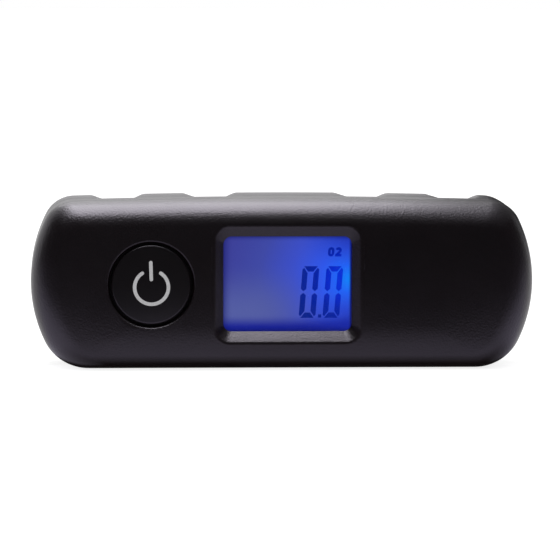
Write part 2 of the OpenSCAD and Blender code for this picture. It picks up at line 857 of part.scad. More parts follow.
module load_cell_screws() {
    color("silver")
        for (x = beam_screw_xs) {
            rod_y(x, mid_z, beam_screw_d / 2, beam_y, beam_rear_y + beam_screw_grip);
            rod_y(x, mid_z, beam_head_d / 2, beam_y - beam_head_h, beam_y);
        }
}

module load_cell_cable() {
    color("#8a8d92")
        lead(cable_route, cable_d);
}

// Steel eye: a block through the rear wall, a round end with the loop's bore, and a shank
module load_eye() {
    color("silver")
        difference() {
            union() {
                slab_y(0, mid_z, eye_w, 2 * eye_r, beam_rear_y, eye_y);
                translate([-eye_w / 2, eye_y, mid_z]) rotate([0, 90, 0]) cylinder(h = eye_w, r = eye_r);
                rod_y(0, mid_z, shank_d / 2, nut_y - shank_over, beam_rear_y);
            }
            translate([-eye_w, eye_y, mid_z]) rotate([0, 90, 0]) cylinder(h = 2 * eye_w, r = eye_bore_r);
        }
}

module eye_washer() {
    color("silver")
        difference() {
            rod_y(0, mid_z, washer_d / 2, beam_y - washer_t, beam_y);
            rod_y(0, mid_z, shank_hole_r, beam_y - washer_t - cut_over, beam_y + cut_over);
        }
}

module eye_nut() {
    color("silver")
        difference() {
            translate([0, nut_y, mid_z])
                rotate([-90, 0, 0])
                    cylinder(h = nut_t, r = nut_af / sqrt(3), $fn = 6);
            rod_y(0, mid_z, shank_hole_r, nut_y - cut_over, beam_y);
        }
}

// Closed wire loop that hangs from the eye by its top bar
module strap_loop() {
    wire_r = wire_d / 2;
    bar_l = 2 * (loop_x - loop_bend);
    leg_l = loop_h - 2 * loop_bend;
    color("silver")
        translate([0, eye_y, mid_z]) {
            for (z = [0, -loop_h])
                translate([-bar_l / 2, 0, z]) rotate([0, 90, 0]) cylinder(h = bar_l, r = wire_r);
            for (s = [-1, 1])
                translate([s * loop_x, 0, -loop_bend - leg_l]) cylinder(h = leg_l, r = wire_r);
            for (q = [[1, 1, 0], [-1, 1, 90], [-1, -1, 180], [1, -1, 270]])
                translate([q[0] * bar_l / 2, 0, (q[1] * leg_l - loop_h) / 2])
                    rotate([90, 0, 0])
                        rotate([0, 0, q[2]])
                            rotate_extrude(angle = 90)
                                translate([loop_bend, 0]) circle(wire_r);
        }
}

module battery_cell() {
    color("#cfd3d6")
        rod_y(bay_x, mid_z, cell_r, cell_y, cell_rear_y);
}

module battery_door() {
    color("#161518")
        translate([bay_x, 0, mid_z])
            difference() {
                union() {
                    rod_y(0, 0, door_r, door_in_y, door_out_y);
                    door_lugs(lug_r, lug_w, door_in_y, door_in_y + lug_t);
                }
                slab_y(0, 0, coin_l, coin_w, door_out_y - coin_depth, door_out_y + cut_over);
            }
}

// Strip that presses on the cell's side, with a tail through the bay's floor
module contact_positive() {
    color("#c9b98a")
        slab_y(positive_x + contact_t / 2, mid_z, contact_t, contact_w, tail_y, cell_rear_y);
}

// Plate on the bay's floor with a button under the cell and a tail through the floor
module contact_negative() {
    plate_y = bay_floor_y + contact_gap;
    color("#c9b98a") {
        slab_y(bay_x, mid_z, 2 * contact_w, contact_w, plate_y, plate_y + contact_t);
        rod_y(bay_x, mid_z, contact_w / 2, plate_y, cell_y - contact_gap);
        slab_y(bay_x, mid_z, contact_w, contact_t, tail_y, plate_y + contact_t);
    }
}

module lead_positive() {
    color("#b3261e")
        lead(positive_route, lead_d);
}

module lead_negative() {
    color("#1b1b1d")
        lead(negative_route, lead_d);
}

module case_screws() {
    color("silver")
        each_case_screw() {
            rod_y(0, 0, case_screw_d / 2, case_seat_y - case_screw_l, case_seat_y);
            rod_y(0, 0, case_head_d / 2, case_seat_y, case_seat_y + case_head_h);
        }
}

front_shell();
rear_shell();
display_window();
window_gasket();
lcd_panel();
light_guide();
backlight_led();
zebra_strip();
lcd_frame();
circuit_board();
controller_blob();
board_capacitors();
board_screws();
power_button();
switch_body();
switch_plunger();
load_cell();
strain_gauges();
load_cell_screws();
load_cell_cable();
load_eye();
eye_washer();
eye_nut();
strap_loop();
battery_cell();
battery_door();
contact_positive();
contact_negative();
lead_positive();
lead_negative();
case_screws();
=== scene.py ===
"""Looks of a digital luggage scale: moulded shells, a lit display, a power button and its hardware.

Laid out as an add-on and run as a script. Sizes are in metres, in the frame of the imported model:
the front faces -Y and the base rests on Z = 0.
"""
import math

import bpy
from bpy.props import FloatProperty, FloatVectorProperty, PointerProperty
from bpy.types import Operator, Panel, PropertyGroup
from mathutils import Matrix, Vector


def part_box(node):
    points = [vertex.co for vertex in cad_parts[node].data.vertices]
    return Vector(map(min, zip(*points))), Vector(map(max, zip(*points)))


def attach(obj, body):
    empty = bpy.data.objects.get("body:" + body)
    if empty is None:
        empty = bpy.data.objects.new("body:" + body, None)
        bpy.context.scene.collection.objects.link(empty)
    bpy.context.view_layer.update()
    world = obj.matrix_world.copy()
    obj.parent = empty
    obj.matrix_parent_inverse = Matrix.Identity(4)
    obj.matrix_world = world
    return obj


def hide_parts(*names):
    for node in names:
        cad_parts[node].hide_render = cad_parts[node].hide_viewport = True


bl_info = {
    "name": "Luggage Scale Looks",
    "version": (1, 0, 0),
    "blender": (4, 5, 0),
    "location": "3D View > Sidebar > Scale",
    "description": "Models and finishes the pieces of a digital luggage scale round its packed frame",
    "category": "Object",
}

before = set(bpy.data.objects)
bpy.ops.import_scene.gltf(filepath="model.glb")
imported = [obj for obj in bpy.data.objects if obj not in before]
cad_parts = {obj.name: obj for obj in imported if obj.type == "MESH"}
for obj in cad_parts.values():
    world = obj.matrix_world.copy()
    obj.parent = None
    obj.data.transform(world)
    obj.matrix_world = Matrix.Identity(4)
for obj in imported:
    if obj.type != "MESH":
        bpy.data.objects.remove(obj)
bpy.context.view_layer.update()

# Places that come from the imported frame
FRONT_LOW, FRONT_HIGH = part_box("front_shell")
REAR_LOW, REAR_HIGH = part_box("rear_shell")
WINDOW_LOW, WINDOW_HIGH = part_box("display_window")
LCD_LOW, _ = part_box("lcd_panel")
CAP_LOW, CAP_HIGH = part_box("power_button")
DOOR_LOW, DOOR_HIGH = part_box("battery_door")
EYE_LOW, EYE_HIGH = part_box("load_eye")
LOOP_LOW, LOOP_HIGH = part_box("strap_loop")
SCREW_LOW, SCREW_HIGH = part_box("case_screws")
_, BEAM_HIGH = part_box("load_cell")
FACE_Y = FRONT_LOW.y
SPLIT_Y = REAR_LOW.y
REAR_Y = REAR_HIGH.y
DISPLAY_MIDDLE = (WINDOW_LOW + WINDOW_HIGH) / 2
BUTTON_MIDDLE = (CAP_LOW + CAP_HIGH) / 2
DOOR_MIDDLE = (DOOR_LOW + DOOR_HIGH) / 2

# Working values
MM = 0.001
MERGE = 1e-6
HAIR = 0.00002
CUT_OVER = 0.001
CORE_LAP = 5 * HAIR
SCREW_CLEAR = 10 * HAIR
REAR_STEP = 20 * HAIR
SMOOTH_ANGLE = math.radians(32)

# How the outline's corners tighten as it is drawn in at the ends
LEAST_CORNER = 0.004
TOP_CORNER_SHARE = 0.45
BASE_CORNER_SHARE = 0.6

# Steps of the shells' outline and sections, then of the turned and bent pieces
CORNER_STEPS = 16
END_STEPS = 30
TOP_STEPS = 210
BASE_STEPS = 60
DOME_STEPS = 10
EDGE_STEPS = 20
RIM_STEPS = 4
RISE_STEPS = 8
TURN_STEPS = 96
CAP_STEPS = 8
DOOR_STEPS = 6
HEAD_STEPS = 10
WIRE_STEPS = 32
BEND_STEPS = 12
BORE_STEPS = 48


def linear(code):
    """Linear colour of an sRGB hex code."""
    channels = [int(code[i:i + 2], 16) / 255 for i in (1, 3, 5)]
    return [c / 12.92 if c <= 0.04045 else ((c + 0.055) / 1.055) ** 2.4 for c in channels]


def length(name, description, default):
    return FloatProperty(
        name=name, description=description, default=default, unit="LENGTH", precision=5)


def angle(name, description, degrees):
    return FloatProperty(
        name=name, description=description, default=math.radians(degrees), unit="ROTATION")


def colour(name, description, code):
    return FloatVectorProperty(
        name=name, description=description, default=linear(code), size=3, subtype="COLOR", min=0, max=1)


class ShellSizes(PropertyGroup):
    """Sizes of the two moulded shells."""

    body_width: length("Width", "Width of the body, end to end", REAR_HIGH.x - REAR_LOW.x)
    body_height: length("Height", "Height of the front shell at its middle", FRONT_HIGH.z)
    end_radius: length("End radius", "Radius of the bulged ends", 0.0392)
    end_height: length("End height", "Height of the widest point of the ends", 0.0241)
    top_corner: length("Top corner", "Corner radius where the ends meet the top", 0.0084)
    base_corner: length("Base corner", "Corner radius where the ends meet the base", 0.013)
    crown_radius: length("Crown radius", "Radius of the slight crown along the top", 1.9)
    wall: length("Wall", "Wall of both shells", 0.0022)
    edge_depth: length("Edge depth", "Depth of the rounding round the face", 0.008)
    edge_end: length("Edge at the ends", "Reach of that rounding at the ends", 0.008)
    edge_top: length("Edge at the top", "Reach of that rounding at the top", 0.007)
    edge_base: length("Edge at the base", "Reach of that rounding at the base", 0.0045)
    edge_start: angle("Edge start", "Turn at which the rounding takes over from the dome", 6.4)
    dome_depth: length("Dome", "Bulge of the face", 0.0007)
    dome_width: length("Dome width", "Width of the band over which the face falls away", 0.014)
    rear_round: length("Rear rounding", "Rounding round the rear face", 0.006)
    front_rim: length("Front rim", "Rounding of the front shell at the joint", 0.00005)
    rear_rim: length("Rear rim", "Rounding of the rear shell at the joint", 0.00005)
    pad_rise: length("Pad rise", "Depth over which the pads rise from the joint", 0.004)
    groove_radius: length("Groove radius", "Radius of a finger groove", 0.0104)
    groove_start: length("Groove start", "Depth of the grooves at the joint", 0.001)
    groove_tilt: angle("Groove tilt", "Fall of the grooves towards the rear", 5.5)
    groove_inner: length("Inner grooves", "Distance of the inner grooves from the row's middle", 0.0207)
    groove_outer: length("Outer grooves", "Distance of the outer grooves from the row's middle", 0.0458)
    groove_shift: length("Groove shift", "Shift of the row of grooves to the right", 0.0016)
    groove_soft: length("Groove edge", "Reach of the soft edge between groove and pad", 0.0011)


class DisplaySizes(PropertyGroup):
    """Sizes of the display and of what it shows."""

    bezel_width: length("Bezel width", "Width of the bezel recess inside its lip", 0.0384)
    bezel_height: length("Bezel height", "Height of the bezel recess inside its lip", 0.0304)
    bezel_corner: length("Bezel corner", "Corner radius of the bezel recess", 0.0038)
    glass_width: length("Opening width", "Width of the clear opening", 0.0343)
    glass_height: length("Opening height", "Height of the clear opening", 0.0254)
    glass_corner: length("Opening corner", "Corner radius of the clear opening", 0.0022)
    wall_bow: FloatProperty(
        name="Wall bow", description="Share of the bezel wall's depth at half its width", default=0.45,
        min=0.2, max=0.5)
    digit_height: length("Digit height", "Height of a large digit", 0.0139)
    digit_width: length("Digit width", "Width of a large digit, without its slant", 0.0045)
    digit_stroke: length("Digit stroke", "Width of a large digit's segments", 0.00145)
    digit_gap: length("Digit gap", "Gap between a large digit's segments", 0.00014)
    digit_slant: angle("Digit slant", "Lean of the digits to the right", 4.5)
    digit_pitch: length("Digit pitch", "Distance between the two large digits", 0.0064)
    digit_x: length("Digits across", "Place of the first large digit from the middle", 0.00586)
    digit_z: length("Digits up", "Place of the large digits' middle from the middle", -0.00235)
    small_height: length("Small height", "Height of a small digit", 0.0025)
    small_width: length("Small width", "Width of a small digit", 0.0017)
    small_stroke: length("Small stroke", "Width of a small digit's strokes", 0.0007)
    small_pitch: length("Small pitch", "Distance between the small digits", 0.00195)
    small_x: length("Small across", "Place of the first small digit from the middle", 0.01178)
    small_z: length("Small up", "Place of the small digits' middle from the middle", 0.00845)


class ButtonSizes(PropertyGroup):
    """Sizes of the power button and its mark."""

    hole_radius: length("Hole radius", "Radius of the button's hole", 0.0111)
    cap_radius: length("Cap radius", "Radius of the cap", 0.01072)
    cap_round: length("Cap rounding", "Rounding of the cap's rim", 0.0007)
    cap_dome: length("Cap dome", "Bulge of the cap's face", 0.00045)
    cap_lift: length("Cap lift", "Height of the cap's finished face over the CAD one", 0.0008)
    flange_front: length("Flange front", "Depth of the flange behind the cap's face", 0.00155)
    flange_thickness: length("Flange", "Thickness of the flange", 0.001)
    pocket_radius: length("Pocket radius", "Radius of the pocket behind the cap", 0.00855)
    stem_radius: length("Stem radius", "Radius of the stem", 0.0015)
    mark_radius: length("Mark radius", "Radius of the mark's ring, to its middle", 0.0045)
    mark_stroke: length("Mark stroke", "Width of the mark's lines", 0.00094)
    mark_aside: length("Mark aside", "Distance of the ring to the right of the cap's middle", 0.0001)
    mark_drop: length("Mark drop", "Distance of the ring below the cap's middle", 0.00066)
    mark_gap: angle("Mark gap", "Half of the ring's opening", 33)
    mark_lean: angle("Mark lean", "Lean of the mark's bar to the left", 1.8)
    bar_low: length("Bar from", "Lower end of the bar above the ring's middle", 0.0021)
    bar_high: length("Bar to", "Upper end of the bar above the ring's middle", 0.0066)


class HardwareSizes(PropertyGroup):
    """Sizes of the loop, the eye, the battery door and the screws."""

    wire: length("Wire", "Diameter of the loop's wire", LOOP_HIGH.y - LOOP_LOW.y)
    loop_bend: length("Loop bend", "Bend radius of the loop's corners", 0.004)
    eye_round: length("Eye end", "Radius of the eye's round end", 0.0045)
    eye_bore: length("Eye bore", "Radius of the eye's bore", 0.00205)
    eye_edge: length("Eye edge", "Rounding of the eye's edges", 0.0005)
    eye_gap: length("Eye gap", "Gap round the eye in the rear wall", 0.0008)
    shank_radius: length("Shank", "Radius of the eye's shank", 0.0025)
    door_radius: length("Door radius", "Radius of the battery door", 0.0125)
    door_round: length("Door rounding", "Rounding of the door's rim", 0.0005)
    door_gap: length("Door gap", "Gap round the door", 0.0001)
    door_turn: angle("Door turn", "Turn of the door from locked to release", 35)
    lug_reach: length("Lug reach", "Reach of the door's lugs", 0.0015)
    lug_width: length("Lug width", "Width of the door's lugs", 0.006)
    lug_thickness: length("Lug thickness", "Thickness of the door's lugs", 0.0012)
    coin_length: length("Coin slot length", "Length of the door's coin slot", 0.014)
    coin_width: length("Coin slot width", "Width of the door's coin slot", 0.0018)
    coin_depth: length("Coin slot depth", "Depth of the door's coin slot", 0.0012)
    screw_radius: length("Screw radius", "Radius of a case screw's thread", 0.00145)
    head_radius: length("Head radius", "Radius of a case screw's head", 0.0026)
    head_height: length("Head height", "Height of a case screw's head", 0.002)
    recess_radius: length("Recess radius", "Radius of the recess over a case screw", 0.0028)


class FinishColours(PropertyGroup):
    """Colours of the finishes that show."""

    shell: colour("Shell", "Black moulded plastic of the shells", "#090102")
    cap: colour("Cap", "Black moulded plastic of the button", "#070303")
    ink: colour("Ink", "Printed mark on the button", "#a5a4a6")
    segment: colour("Segments", "Lit display's dark segments", "#0022a8")
    plating: colour("Plating", "Nickel plating of the loop and the eye", "#c9c6c1")
    zinc: colour("Zinc", "Zinc plating of the fasteners", "#b9bcc2")


# Modelling helpers


def select_only(piece):
    bpy.ops.object.select_all(action="DESELECT")
    piece.select_set(True)
    bpy.context.view_layer.objects.active = piece


def new_piece(name):
    """Names the primitive that was just added."""
    piece = bpy.context.object
    piece.name = piece.data.name = name
    return piece


def steps(count, start=0.0, end=1.0):
    """Evenly spaced values from start to end, both included."""
    return [start + (end - start) * i / count for i in range(count + 1)]


def arc(cx, cz, radius, start, end, count):
    return [(cx + radius * math.cos(a), cz + radius * math.sin(a)) for a in steps(count, start, end)]


def close_mesh(piece):
    """Merges seams, fills open ends and turns all faces outwards."""
    select_only(piece)
    bpy.ops.object.mode_set(mode="EDIT")
    bpy.ops.mesh.select_all(action="SELECT")
    bpy.ops.mesh.remove_doubles(threshold=MERGE)
    bpy.ops.mesh.select_all(action="SELECT")
    bpy.ops.mesh.fill_holes(sides=0)
    bpy.ops.mesh.select_all(action="SELECT")
    bpy.ops.mesh.normals_make_consistent(inside=False)
    bpy.ops.object.mode_set(mode="OBJECT")
    return piece


def wrap_rings(name, rings):
    """A grid whose rows lie along the rings, closed round its seam and at both ends."""
    columns = len(rings[0])
    bpy.ops.object.select_all(action="DESELECT")
    bpy.ops.mesh.primitive_grid_add(x_subdivisions=columns, y_subdivisions=len(rings) - 1)
    piece = new_piece(name)
    places = [ring[i % columns] for ring in rings for i in range(columns + 1)]
    for vertex, place in zip(piece.data.vertices, places, strict=True):
        vertex.co = place
    return close_mesh(piece)


def turn(name, x, z, profile):
    """A profile of (radius, depth) points spun about the line along Y through x and z."""
    bpy.ops.object.select_all(action="DESELECT")
    bpy.ops.mesh.primitive_plane_add(location=(x, 0, z))
    piece = new_piece(name)
    bpy.ops.object.transform_apply(location=True)
    bpy.ops.object.mode_set(mode="EDIT")
    bpy.ops.mesh.merge(type="CENTER")
    bpy.ops.transform.translate(value=(profile[0][0], profile[0][1], 0))
    for (r0, y0), (r1, y1) in zip(profile, profile[1:]):
        bpy.ops.mesh.extrude_vertices_move(TRANSFORM_OT_translate={"value": (r1 - r0, y1 - y0, 0)})
    bpy.ops.mesh.select_all(action="SELECT")
    bpy.ops.mesh.spin(steps=TURN_STEPS, angle=2 * math.pi, center=(x, 0, z), axis=(0, 1, 0))
    bpy.ops.object.mode_set(mode="OBJECT")
    return close_mesh(piece)


def plate(name, outline_points, y, thickness):
    """A flat plate of an outline, from y back by its thickness."""
    bpy.ops.object.select_all(action="DESELECT")
    bpy.ops.mesh.primitive_circle_add(vertices=len(outline_points), fill_type="NGON")
    piece = new_piece(name)
    for vertex, (x, z) in zip(piece.data.vertices, outline_points, strict=True):
        vertex.co = (x, y, z)
    bpy.ops.object.mode_set(mode="EDIT")
    bpy.ops.mesh.select_all(action="SELECT")
    bpy.ops.mesh.extrude_region_move(TRANSFORM_OT_translate={"value": (0, thickness, 0)})
    bpy.ops.object.mode_set(mode="OBJECT")
    return close_mesh(piece)


def combine(piece, other, operation):
    """Cuts, joins or keeps what two solids share, and removes the second one."""
    modifier = piece.modifiers.new(operation, "BOOLEAN")
    modifier.object = other
    modifier.operation = operation
    modifier.solver = "EXACT"
    select_only(piece)
    bpy.ops.object.modifier_apply(modifier=modifier.name)
    bpy.data.objects.remove(other)


def join(name, pieces):
    select_only(pieces[0])
    for other in pieces:
        other.select_set(True)
    bpy.ops.object.join()
    return new_piece(name)


def finish_piece(piece, material, body, slot, *nodes):
    """Smooths a piece, gives it its material and sets it on its body in place of its CAD nodes."""
    select_only(piece)
    bpy.ops.object.shade_smooth_by_angle(angle=SMOOTH_ANGLE)
    weights = piece.modifiers.new("weights", "WEIGHTED_NORMAL")
    weights.keep_sharp = True
    bpy.ops.object.modifier_apply(modifier=weights.name)
    piece.data.materials.clear()
    piece.data.materials.append(material)
    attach(piece, body)
    if nodes:
        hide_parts(*nodes)
    return piece


def dress(name, material):
    """Gives a CAD node that keeps its mesh its material."""
    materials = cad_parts[name].data.materials
    materials.clear()
    materials.append(material)


def node_copy(name):
    """A merged copy of a CAD node's mesh, for use in a solid."""
    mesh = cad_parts[name].data.copy()
    mesh.materials.clear()
    piece = bpy.data.objects.new(name + "_copy", mesh)
    bpy.context.scene.collection.objects.link(piece)
    return close_mesh(piece)


# Shape of the shells


def crown_scale(shell, x):
    """Share of its height that the outline keeps at x, under the crown of the top."""
    return 1 - x * x / (2 * shell.crown_radius) / shell.body_height


def outline(shell, end_in, top_z, base_z):
    """The body's outline, drawn in at the ends: corner arcs, bulged ends and a crowned top."""
    end_x = shell.body_width / 2 - shell.end_radius
    end_r = shell.end_radius - end_in
    top_r = max(shell.top_corner - TOP_CORNER_SHARE * end_in, LEAST_CORNER)
    base_r = max(shell.base_corner - BASE_CORNER_SHARE * end_in, LEAST_CORNER)
    top_cz = top_z - top_r
    base_cz = base_z + base_r
    top_cx = end_x + math.sqrt((end_r - top_r) ** 2 - (top_cz - shell.end_height) ** 2)
    base_cx = end_x + math.sqrt((end_r - base_r) ** 2 - (base_cz - shell.end_height) ** 2)
    top_a = math.atan2(top_cz - shell.end_height, top_cx - end_x)
    base_a = math.atan2(base_cz - shell.end_height, base_cx - end_x)
    right = [
        *arc(base_cx, base_cz, base_r, -math.pi / 2, base_a, CORNER_STEPS),
        *arc(end_x, shell.end_height, end_r, base_a, top_a, END_STEPS)[1:],
        *arc(top_cx, top_cz, top_r, top_a, math.pi / 2, CORNER_STEPS)[1:],
    ]
    top = [(top_cx * t, top_z) for t in steps(TOP_STEPS, 1, -1)[1:-1]]
    left = [(-x, z) for x, z in reversed(right)]
    base = [(base_cx * t, base_z) for t in steps(BASE_STEPS, -1, 1)[1:-1]]
    return [(x, z * crown_scale(shell, x)) for x, z in right + top + left + base]


def ring(shell, y, end_in, top_in, base_in, lift=0.0):
    points = outline(shell, end_in, shell.body_height + lift - top_in, base_in)
    return [(x, y, z) for x, z in points]


def face_profile(shell):
    """(depth, reach) pairs from the flat of the face, over its dome and round its edge."""
    dome_reach = shell.dome_width / shell.edge_end
    dome = [(shell.dome_depth * f * f, 1 + dome_reach * (1 - f)) for f in steps(DOME_STEPS)[:-1]]
    start = shell.edge_start
    edge = [
        (
            shell.dome_depth + shell.edge_depth * (1 - math.cos(a) / math.cos(start)),
            (1 - math.sin(a)) / (1 - math.sin(start)),
        )
        for a in steps(EDGE_STEPS, start, math.pi / 2)
    ]
    return dome + edge


def face_depth(shell, x, z):
    """Depth of the front surface at a place on the face that isn't near its ends."""
    flat_z = z / crown_scale(shell, x)
    reach = min((shell.body_height - flat_z) / shell.edge_top, flat_z / shell.edge_base)
    if reach >= 1:
        f = 1 - (reach - 1) * shell.edge_end / shell.dome_width
        return shell.dome_depth * max(f, 0) ** 2
    start = shell.edge_start
    a = math.asin(1 - reach * (1 - math.sin(start)))
    return shell.dome_depth + shell.edge_depth * (1 - math.cos(a) / math.cos(start))


def front_rings(shell, off):
    """Rings of the front body from its face to the joint, drawn in all round by off."""
    return [
        ring(
            shell,
            FACE_Y + depth + off,
            shell.edge_end * reach + off,
            shell.edge_top * reach + off,
            shell.edge_base * reach + off,
        )
        for depth, reach in face_profile(shell)
    ]


def rim_profile(radius):
    """(inset, distance from the joint) pairs of a rounded rim, from the joint outwards."""
    return [
        (radius * (1 - math.cos(a)), radius * (1 - math.sin(a)))
        for a in steps(RIM_STEPS, math.pi / 2, 0)
    ]


def smooth_least(a, b, soft):
    """The smaller of two heights, with the corner between them rounded off."""
    near = max(soft - abs(a - b), 0) / soft
    return min(a, b) - near * near * soft / 4


def groove_floor(shell, x, y, lift):
    """Height of the finger grooves' floor at a place, or no limit between the grooves."""
    floor = math.inf
    for place in (-shell.groove_outer, -shell.groove_inner, shell.groove_inner, shell.groove_outer):
        centre = place + shell.groove_shift
        across = x - centre
        if abs(across) < shell.groove_radius:
            pad = (shell.body_height + lift) * crown_scale(shell, centre)
            fall = (y - SPLIT_Y) * math.tan(shell.groove_tilt)
            axis_z = pad - shell.groove_start + shell.groove_radius - fall
            sag = math.sqrt(shell.groove_radius ** 2 - across ** 2) / math.cos(shell.groove_tilt)
            floor = min(floor, axis_z - sag)
    return floor


def grooved(shell, points, lift, off):
    """Ring points with their upper ones pressed down to the finger grooves."""
    middle = shell.body_height / 2

    def pressed(x, y, z):
        return smooth_least(z, groove_floor(shell, x, y, lift) - off, shell.groove_soft)

    return [(x, y, pressed(x, y, z) if z > middle else z) for x, y, z in points]


def rear_rings(shell, off):
    """Rings of the rear body from behind the joint to its rear face, drawn in all round by off."""
    lift = REAR_HIGH.z - shell.body_height
    rings = []
    for a in steps(EDGE_STEPS, 0, math.pi / 2):
        y = REAR_Y - off - shell.rear_round * (1 - math.sin(a))
        inset = shell.rear_round * (1 - math.cos(a)) + off
        rings.append(grooved(shell, ring(shell, y, inset, inset, inset, lift), lift, off))
    inset += REAR_STEP
    rings.append(grooved(shell, ring(shell, y, inset, inset, inset, lift), lift, off))
    return rings


def rounded_rectangle(width, height, corner, count=CORNER_STEPS):
    """Points round a rectangle with rounded corners, about its middle."""
    points = []
    for i, (sx, sz) in enumerate(((1, -1), (1, 1), (-1, 1), (-1, -1))):
        start = (i - 1) * math.pi / 2
        cx, cz = sx * (width / 2 - corner), sz * (height / 2 - corner)
        points += arc(cx, cz, corner, start, start + math.pi / 2, count)
    return points


# (growth, depth) steps of the rounded lip round an opening, from just above the surface
LIP = ((0.00038, -0.00005), (0.00014, 0.00004), (0.00004, 0.00009), (0, 0.00016))
BEZEL_LIP = (
    (0.00105, -0.00006), (0.00078, 0.00001), (0.0005, 0.00008), (0.00024, 0.00019),
    (0.00008, 0.0003), (0, 0.00038))
HOLE_LIP = (
    (0.00094, -0.00006), (0.00077, 0.00001), (0.00056, 0.0001), (0.00046, 0.00018),
    (0.00042, 0.00034), (0.00024, 0.0011), (0, 0.0018))
# Round holes have a lip that goes this many times deeper
ROUND_LIP = 2


def bezel_cutter(shell, display):
    """Solid of the bezel recess: a lip that follows the face, sloping walls and the clear opening."""
    rings = []
    for growth, depth in BEZEL_LIP:
        points = rounded_rectangle(
            display.bezel_width + 2 * growth,
            display.bezel_height + 2 * growth,
            display.bezel_corner + growth,
        )
        places = [(DISPLAY_MIDDLE.x + x, DISPLAY_MIDDLE.z + z) for x, z in points]
        rings.append([(x, FACE_Y + face_depth(shell, x, z) + depth, z) for x, z in places])
    opening = rounded_rectangle(
        display.glass_width + 2 * HAIR, display.glass_height + 2 * HAIR, display.glass_corner)
    front, back = (
        [(DISPLAY_MIDDLE.x + x, y, DISPLAY_MIDDLE.z + z) for x, z in opening]
        for y in (WINDOW_LOW.y - HAIR, WINDOW_HIGH.y))
    half_way = [
        ((x0 + x1) / 2, y0 + display.wall_bow * (y1 - y0), (z0 + z1) / 2)
        for (x0, y0, z0), (x1, y1, z1) in zip(rings[-1], front)
    ]
    rings += [half_way, front, back]
    above = [(x, FACE_Y - CUT_OVER, z) for x, _, z in rings[0]]
    return wrap_rings("bezel_cutter", [above, *rings])


def bezel_block(shell, display):
    """Solid behind the face that the bezel's walls are cut from, up to the window's seat."""
    points = rounded_rectangle(
        display.bezel_width + shell.wall,
        display.bezel_height + shell.wall,
        display.bezel_corner + shell.wall / 2,
    )
    places = [(DISPLAY_MIDDLE.x + x, DISPLAY_MIDDLE.z + z) for x, z in points]
    front = FACE_Y + shell.wall / 4 + max(face_depth(shell, x, z) for x, z in places)
    return plate("bezel_block", places, front, WINDOW_LOW.y - front)


def hole_cutter(shell, button):
    """Solid of the button's hole, with a lip that follows the face."""
    rings = []
    for growth, depth in HOLE_LIP:
        points = arc(
            BUTTON_MIDDLE.x, BUTTON_MIDDLE.z, button.hole_radius + growth, 0, 2 * math.pi, TURN_STEPS)[1:]
        rings.append([(x, FACE_Y + face_depth(shell, x, z) + depth, z) for x, z in points])
    above = [(x, FACE_Y - CUT_OVER, z) for x, _, z in rings[0]]
    below = [(x, FACE_Y + shell.wall + CUT_OVER, z) for x, _, z in rings[-1]]
    return wrap_rings("hole_cutter", [above, *rings, below])


def shell_core(name, rings, wall_y):
    """What a CAD shell holds inside its wall: posts, guides, seats and bays."""
    core = node_copy(name)
    inside = wrap_rings(name + "_inside", [*rings, [(x, wall_y, z) for x, _, z in rings[-1]]])
    combine(core, inside, "INTERSECT")
    return core


def round_cutter(x, z, radius, y):
    """Solid of a round hole through the rear wall from y outwards, with a rounded lip."""
    lip = [(radius + growth, REAR_Y - ROUND_LIP * depth) for growth, depth in reversed(LIP)]
    outside = REAR_Y + CUT_OVER
    return turn("round_cutter", x, z, [(0, y), (radius, y), *lip, (lip[-1][0], outside), (0, outside)])


def slot_cutter(x, y, z, width, height, corner, depth, count):
    """Solid of a slot sunk into a rear face at y, about x and z, with a rounded lip."""
    rings = []
    for growth, below in ((0, depth), *reversed(LIP)):
        points = rounded_rectangle(width + 2 * growth, height + 2 * growth, corner + growth, count)
        rings.append([(x + px, y - below, z + pz) for px, pz in points])
    rings.append([(px, y + CUT_OVER, pz) for px, _, pz in rings[-1]])
    return wrap_rings("slot_cutter", rings)


def screw_places():
    """Middles of the four case screws."""
    reach = bpy.context.scene.scale_hardware.head_radius
    return [
        (x, z)
        for x in (SCREW_LOW.x + reach, SCREW_HIGH.x - reach)
        for z in (SCREW_LOW.z + reach, SCREW_HIGH.z - reach)
    ]


def lug_outline(x, z, radius, width, rotation):
    """Bow-tie outline of the door's two lugs, or of the notches that let them out."""
    half = math.asin(width / 2 / radius)
    top = arc(0, 0, radius, math.pi / 2 - half, math.pi / 2 + half, CORNER_STEPS)
    bottom = arc(0, 0, radius, 1.5 * math.pi - half, 1.5 * math.pi + half, CORNER_STEPS)
    turn_by = Matrix.Rotation(rotation, 2)
    return [(x + p.x, z + p.y) for p in (turn_by @ Vector(q) for q in top + bottom)]


# Materials


def rgba(colour_value):
    return (*colour_value, 1.0)


def add(tree, kind, inputs=None, stops=(), **settings):
    """Adds a node with its settings and links, and with (place, colour) stops where it is a ramp."""
    made = tree.nodes.new(kind)
    for key, value in settings.items():
        setattr(made, key, value)
    for key, value in (inputs or {}).items():
        if isinstance(value, bpy.types.NodeSocket):
            tree.links.new(value, made.inputs[key])
        else:
            made.inputs[key].default_value = value
    if stops:
        elements = made.color_ramp.elements
        while len(elements) < len(stops):
            elements.new(0.5)
        for element, (place, value) in zip(elements, stops, strict=True):
            element.position = place
            element.color = rgba(value)
    return made


def new_material(name, finish=None):
    """A material with its tree, its shader of the given finish, and the piece's own coordinates."""
    material = bpy.data.materials.new(name)
    material.use_nodes = True
    tree = material.node_tree
    tree.nodes.clear()
    shader = add(tree, "ShaderNodeBsdfPrincipled", finish)
    add(tree, "ShaderNodeOutputMaterial", {"Surface": shader.outputs[0]})
    place = add(tree, "ShaderNodeTexCoord").outputs["Object"]
    return material, tree, shader, place


